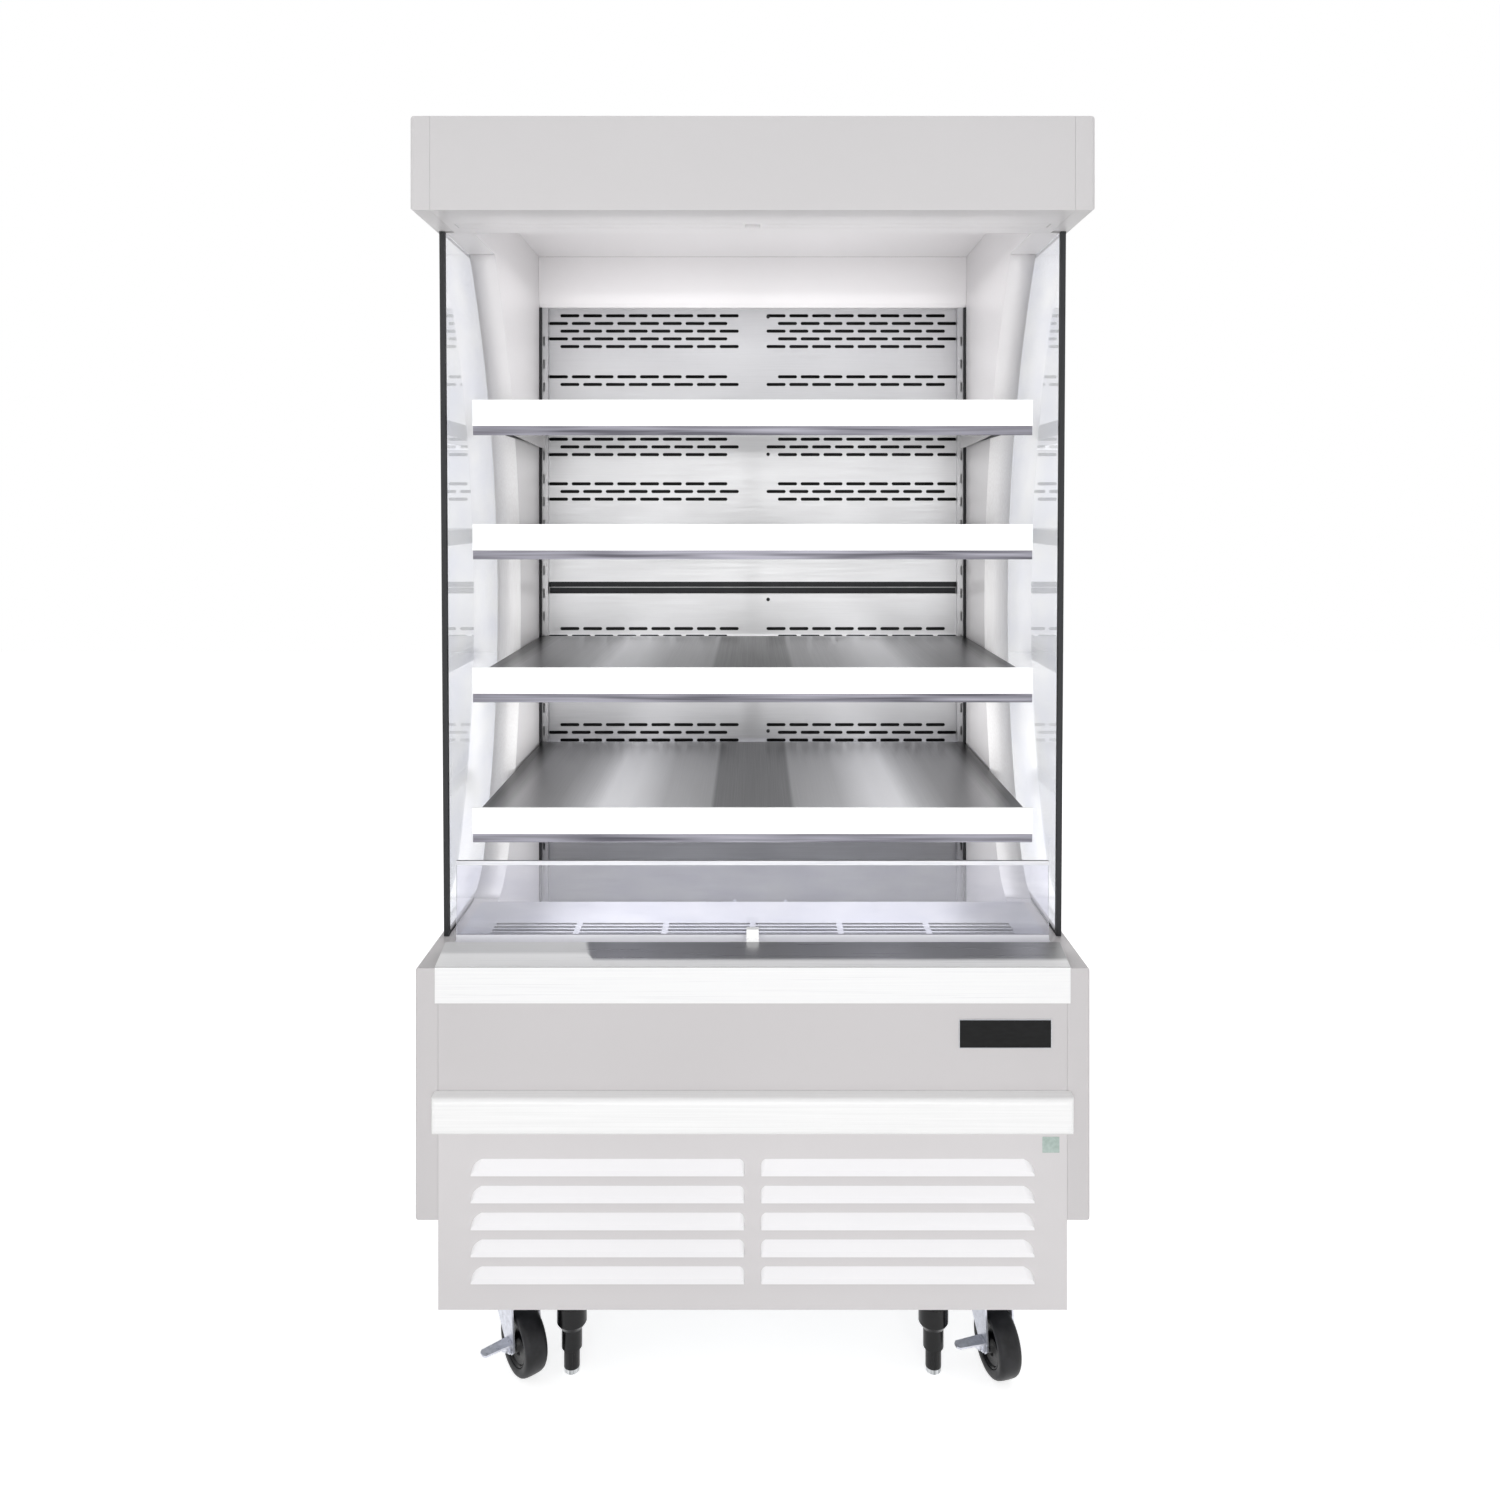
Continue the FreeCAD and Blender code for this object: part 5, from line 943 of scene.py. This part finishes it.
def night_blind_run():
    """Run of night-blind cloth from the roller to the pull bar; on the real blind it draws out as the bar
    comes down.

    At rest only this short run hangs out, and the rest of the cloth is wound on the roller."""
    corners = [Vector(corner) for corner in NODES["blind_film"].bound_box]
    low, high = ([pick(corner[axis] for corner in corners) for axis in range(3)] for pick in (min, max))
    shape = bmesh.new()
    add_box(shape, low, high)
    hanging = [edge for edge in shape.edges if edge.verts[0].co.z != edge.verts[1].co.z]
    bmesh.ops.subdivide_edges(shape, edges=hanging, cuts=BLIND_ROWS - 1, use_grid_fill=True)
    piece = finished("night_blind_run", shape, "cloth", None)
    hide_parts("blind_film")
    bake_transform(piece)


night_blind_run()


# ---------------------------------------------------------------- screws

# the cross recess, as shares of the head's width
CROSS_HALF = 0.05
CROSS_REACH = 0.6
CROSS_DEPTH = 0.13


def screw_head_shape():
    """Pan head with a cross recess, 1 m across, for the screw tree to scale."""
    shape = bmesh.new()
    sectors = 24
    rings = ((1.0, 0.0), (0.97, 0.22), (0.8, 0.42), (0.55, 0.5), (0.42, 0.53), (0.24, 0.54), (0.1, 0.54))
    rows = []
    for radius, height in rings:
        row = []
        for sector in range(sectors):
            angle = math.tau * sector / sectors
            x, y = radius * math.cos(angle) / 2, radius * math.sin(angle) / 2
            in_cross = min(abs(x), abs(y)) < CROSS_HALF and radius < CROSS_REACH
            row.append(shape.verts.new((x, y, height / 2 - (CROSS_DEPTH if in_cross else 0.0))))
        rows.append(row)
    for outer, inner in zip(rows, rows[1:]):
        for sector in range(sectors):
            after = (sector + 1) % sectors
            shape.faces.new((outer[sector], outer[after], inner[after], inner[sector]))
    shape.faces.new(rows[-1])
    shape.faces.new(reversed(rows[0]))
    mesh = bpy.data.meshes.new("screw_head")
    shape.to_mesh(mesh)
    shape.free()
    return mesh


def screw_tree():
    """Geometry Nodes: one head on each point, turned to the way it faces."""
    tree = bpy.data.node_groups.new("screw_rows", "GeometryNodeTree")
    sockets = (
        ("Points", "NodeSocketGeometry"), ("Head", "NodeSocketObject"), ("Head width", "NodeSocketFloat"),
        ("Facing", "NodeSocketVector"), ("Finish", "NodeSocketMaterial"),
    )
    for label, kind in sockets:
        tree.interface.new_socket(label, in_out="INPUT", socket_type=kind)
    tree.interface.new_socket("Screws", in_out="OUTPUT", socket_type="NodeSocketGeometry")
    entry = tree.nodes.new("NodeGroupInput")
    head = node(tree, "GeometryNodeObjectInfo", {"Object": entry.outputs["Head"]}, out="Geometry")
    turned = node(tree, "FunctionNodeAlignRotationToVector", {"Vector": entry.outputs["Facing"]}, axis="Z")
    placed = node(tree, "GeometryNodeInstanceOnPoints", {
        "Points": entry.outputs["Points"], "Instance": head, "Rotation": turned,
        "Scale": entry.outputs["Head width"],
    })
    real = node(tree, "GeometryNodeRealizeInstances", {"Geometry": placed})
    coloured = node(tree, "GeometryNodeSetMaterial", {"Geometry": real, "Material": entry.outputs["Finish"]})
    node(tree, "NodeGroupOutput", {"Screws": coloured})
    return tree


SCREW_TREE = screw_tree()
SCREW_HEAD = bpy.data.objects.new("screw_head", screw_head_shape())


def screws(name, body, places, facing, width=7 * MM, finish="zinc"):
    """A row of screws as one plain mesh."""
    mesh = bpy.data.meshes.new(name)
    mesh.from_pydata(places, [], [])
    points = bpy.data.objects.new(name, mesh)
    bpy.context.scene.collection.objects.link(points)
    modifier = points.modifiers.new("screw_rows", "NODES")
    modifier.node_group = SCREW_TREE
    values = {"Head": SCREW_HEAD, "Head width": width, "Facing": facing, "Finish": FINISH[finish]}
    for item in SCREW_TREE.interface.items_tree:
        if item.in_out == "INPUT" and item.name in values:
            modifier[item.identifier] = values[item.name]
    bpy.context.view_layer.update()
    graph = bpy.context.evaluated_depsgraph_get()
    result = bpy.data.meshes.new_from_object(points.evaluated_get(graph), depsgraph=graph)
    points.modifiers.clear()
    points.data = result
    result.name = name
    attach(points, body)
    return points


BACK_PANEL_FACE = 0.3165
PANEL_SCREWS = [(0.034, BACK_PANEL_FACE, height) for height in (1.8179, 1.5158, 1.1972, 0.9081)]
STUDS = [(across, BACK_PANEL_FACE, 0.5345) for across in (-0.039, 0.0725)]
SERVICE_FACE = 0.4343
SERVICE_COLUMNS = (-0.470, -0.157, 0.157, 0.470)
SERVICE_SCREWS = [(across, SERVICE_FACE, height) for across in SERVICE_COLUMNS for height in (0.177, 0.388)]

screws("rear_panel_screws", "cabinet", PANEL_SCREWS, (0, -1, 0), 8 * MM, "enamel")
screws("pan_edge_studs", "cabinet", STUDS, (0, -1, 0), 8 * MM)
screws("service_panel_screws", "cabinet", SERVICE_SCREWS, (0, 1, 0))


# ---------------------------------------------------------------- bare plates

FRONT_FACE = -0.4085
SUNK = 0.2 * MM
PLATE = (0.3225, 0.5525, 0.4672, 0.5978)
PATCH = (0.4530, 0.3890, 0.4795, 0.4136)


def on_front(shape, left, foot, right, top, proud, bevel):
    """Adds a thin plate to the front panel's face, which stands proud of it."""
    add_box(shape, (left, FRONT_FACE - proud, foot), (right, FRONT_FACE + SUNK, top), bevel)


def plates():
    """Bare name plate in a bright rim, and a small plain patch below the bumper."""
    left, foot, right, top = PLATE
    rim = 1.1 * MM
    shape = bmesh.new()
    on_front(shape, left + rim, foot + rim, right - rim, top - rim, 1.7 * MM, 0.4 * MM)
    finished("bare_name_plate", shape, "plate", "cabinet")
    shape = bmesh.new()
    for bar in (
        (left, foot, right, foot + rim), (left, top - rim, right, top),
        (left, foot + rim, left + rim, top - rim), (right - rim, foot + rim, right, top - rim),
    ):
        on_front(shape, *bar, 1.9 * MM, 0.3 * MM)
    finished("name_plate_rim", shape, "aluminium", "cabinet")
    shape = bmesh.new()
    on_front(shape, *PATCH, 0.6 * MM, 0.2 * MM)
    finished("bare_patch", shape, "film", "cabinet")


plates()


# ---------------------------------------------------------------- studio

FLOOR_HALF = 9.0
FLOOR_GLOW = 0.68
SOFT_LEVEL = 0.45
WHITE = (1, 1, 1, 1)


def seen_rays(tree):
    """1 for the rays that show the surroundings: the camera's, those through glass and those in gloss."""
    camera_ray, through, gloss = (
        node(tree, "ShaderNodeLightPath", out=kind)
        for kind in ("Is Camera Ray", "Is Transmission Ray", "Is Glossy Ray")
    )
    clear = node(tree, "ShaderNodeMath", {0: camera_ray, 1: through}, operation="MAXIMUM")
    return node(tree, "ShaderNodeMath", {0: clear, 1: gloss}, operation="MAXIMUM")


def studio_floor():
    """Pale floor: seen by the camera it is white, with the shadow of the cabinet kept."""
    material = bpy.data.materials.new("studio_floor")
    material.use_nodes = True
    tree = material.node_tree
    tree.nodes.clear()
    matt = node(tree, "ShaderNodeBsdfDiffuse", {"Color": paint("#E8E8E8")})
    glow = node(tree, "ShaderNodeEmission", {"Color": WHITE, "Strength": FLOOR_GLOW})
    both = node(tree, "ShaderNodeAddShader", {0: matt, 1: glow})
    seen = node(tree, "ShaderNodeMixShader", {0: seen_rays(tree), 1: matt, 2: both})
    node(tree, "ShaderNodeOutputMaterial", {"Surface": seen})
    shape = bmesh.new()
    corners = [(-1, -1), (1, -1), (1, 1), (-1, 1)]
    shape.faces.new([shape.verts.new((x * FLOOR_HALF, y * FLOOR_HALF, 0)) for x, y in corners])
    mesh = bpy.data.meshes.new("studio_floor")
    shape.to_mesh(mesh)
    shape.free()
    mesh.materials.append(material)
    floor = bpy.data.objects.new("studio_floor", mesh)
    bpy.context.scene.collection.objects.link(floor)


def studio_world():
    """White surroundings for the camera, for gloss and through glass; a softer level lights the cabinet."""
    world = bpy.data.worlds.new("studio")
    bpy.context.scene.world = world
    world.use_nodes = True
    tree = world.node_tree
    tree.nodes.clear()
    soft = node(tree, "ShaderNodeBackground", {"Color": WHITE, "Strength": SOFT_LEVEL})
    bright = node(tree, "ShaderNodeBackground", {"Color": WHITE, "Strength": 1.0})
    mixed = node(tree, "ShaderNodeMixShader", {0: seen_rays(tree), 1: soft, 2: bright})
    node(tree, "ShaderNodeOutputWorld", {"Surface": mixed})


def soft_box(name, place, aim, width, height, watts, lights):
    """A soft lamp that points at a spot and lights the matt surfaces or the shiny ones, but not both."""
    data = bpy.data.lights.new(name, "AREA")
    data.shape = "RECTANGLE"
    data.size = width
    data.size_y = height
    data.energy = watts
    lamp = bpy.data.objects.new(name, data)
    lamp.location = place
    lamp.rotation_euler = (Vector(aim) - Vector(place)).to_track_quat("-Z", "Y").to_euler()
    bpy.context.scene.collection.objects.link(lamp)
    lamp.visible_diffuse = lights == "matt"
    lamp.visible_glossy = lights == "shiny"
    lamp.visible_camera = False
    lamp.visible_transmission = False


# heights in the bays, from the top bay down to the deck, and the watts of the lamps there
BAY_CEILINGS = (1.869, 1.524, 1.319, 1.083, 0.852)
BAY_MIDDLES = (1.715, 1.455, 1.230, 0.980, 0.735)
SHELF_TOPS = (1.560, 1.355, 1.119, 0.888)
BAY_WATTS = (0.8, 0.9, 0.9, 1.3, 2.4)
SHINE_WATTS = (0.02, 0.70, 0.25, 0.80, 2.6)
WALL_WATTS = (0.08, 0.50, 0.50, 0.9, 0.2)
BOUNCE_WATTS = (2.1, 0.8, 0.8, 1.2)
BAY_DEPTH = 0.045
WALL_DEPTH = 0.03
FAR_UP = 9

# name, place, what it points at, width, height, watts, and the surfaces that it lights
FRONT_LAMPS = (
    ("front_soft_box", (0.0, -5.0, 1.35), (0, 0, 1.2), 3.4, 2.4, 106, "matt"),
    ("front_shine", (0.0, -5.01, 1.35), (0, 0, 1.35), 3.4, 2.4, 28, "shiny"),
    ("bay_soft_box", (0.0, -0.405, 1.285), (0, 1.0, 1.285), 0.92, 1.10, 1.3, "matt"),
)
OTHER_LAMPS = (
    ("soffit_bounce", (0.0, -0.36, 1.78), (0, -0.36, FAR_UP), 0.9, 0.08, 0.06, "matt"),
    ("left_soft_box", (-3.6, -1.6, 2.8), (0, 0, 1.0), 2.2, 2.6, 18, "matt"),
    ("right_soft_box", (3.6, -1.6, 2.8), (0, 0, 1.0), 2.2, 2.6, 9, "matt"),
    ("rear_soft_box", (1.6, 4.2, 3.2), (0, 0, 1.0), 3.5, 2.4, 60, "matt"),
)

studio_floor()
studio_world()
for lamp in FRONT_LAMPS:
    soft_box(*lamp)
for name, drop, watts, lights in (
    ("bay_light_%d", 0, BAY_WATTS, "matt"), ("bay_shine_%d", MM, SHINE_WATTS, "shiny")
):
    for number, height in enumerate(BAY_CEILINGS):
        place = (0, BAY_DEPTH, height - drop)
        soft_box(name % number, place, (0, BAY_DEPTH, 0), 0.86, 0.44, watts[number], lights)
for number, height in enumerate(BAY_MIDDLES):
    for side, word in ((-1, "left"), (1, "right")):
        near, wall = (side * 0.01, WALL_DEPTH, height), (side, WALL_DEPTH, height)
        soft_box("wall_light_%s_%d" % (word, number), near, wall, 0.52, 0.12, WALL_WATTS[number], "matt")
for number, height in enumerate(SHELF_TOPS):
    low = (0, 0, height + 6 * MM)
    soft_box("shelf_bounce_%d" % number, low, (0, 0, FAR_UP), 0.86, 0.50, BOUNCE_WATTS[number], "matt")
for lamp in OTHER_LAMPS:
    soft_box(*lamp)

bpy.context.view_layer.update()
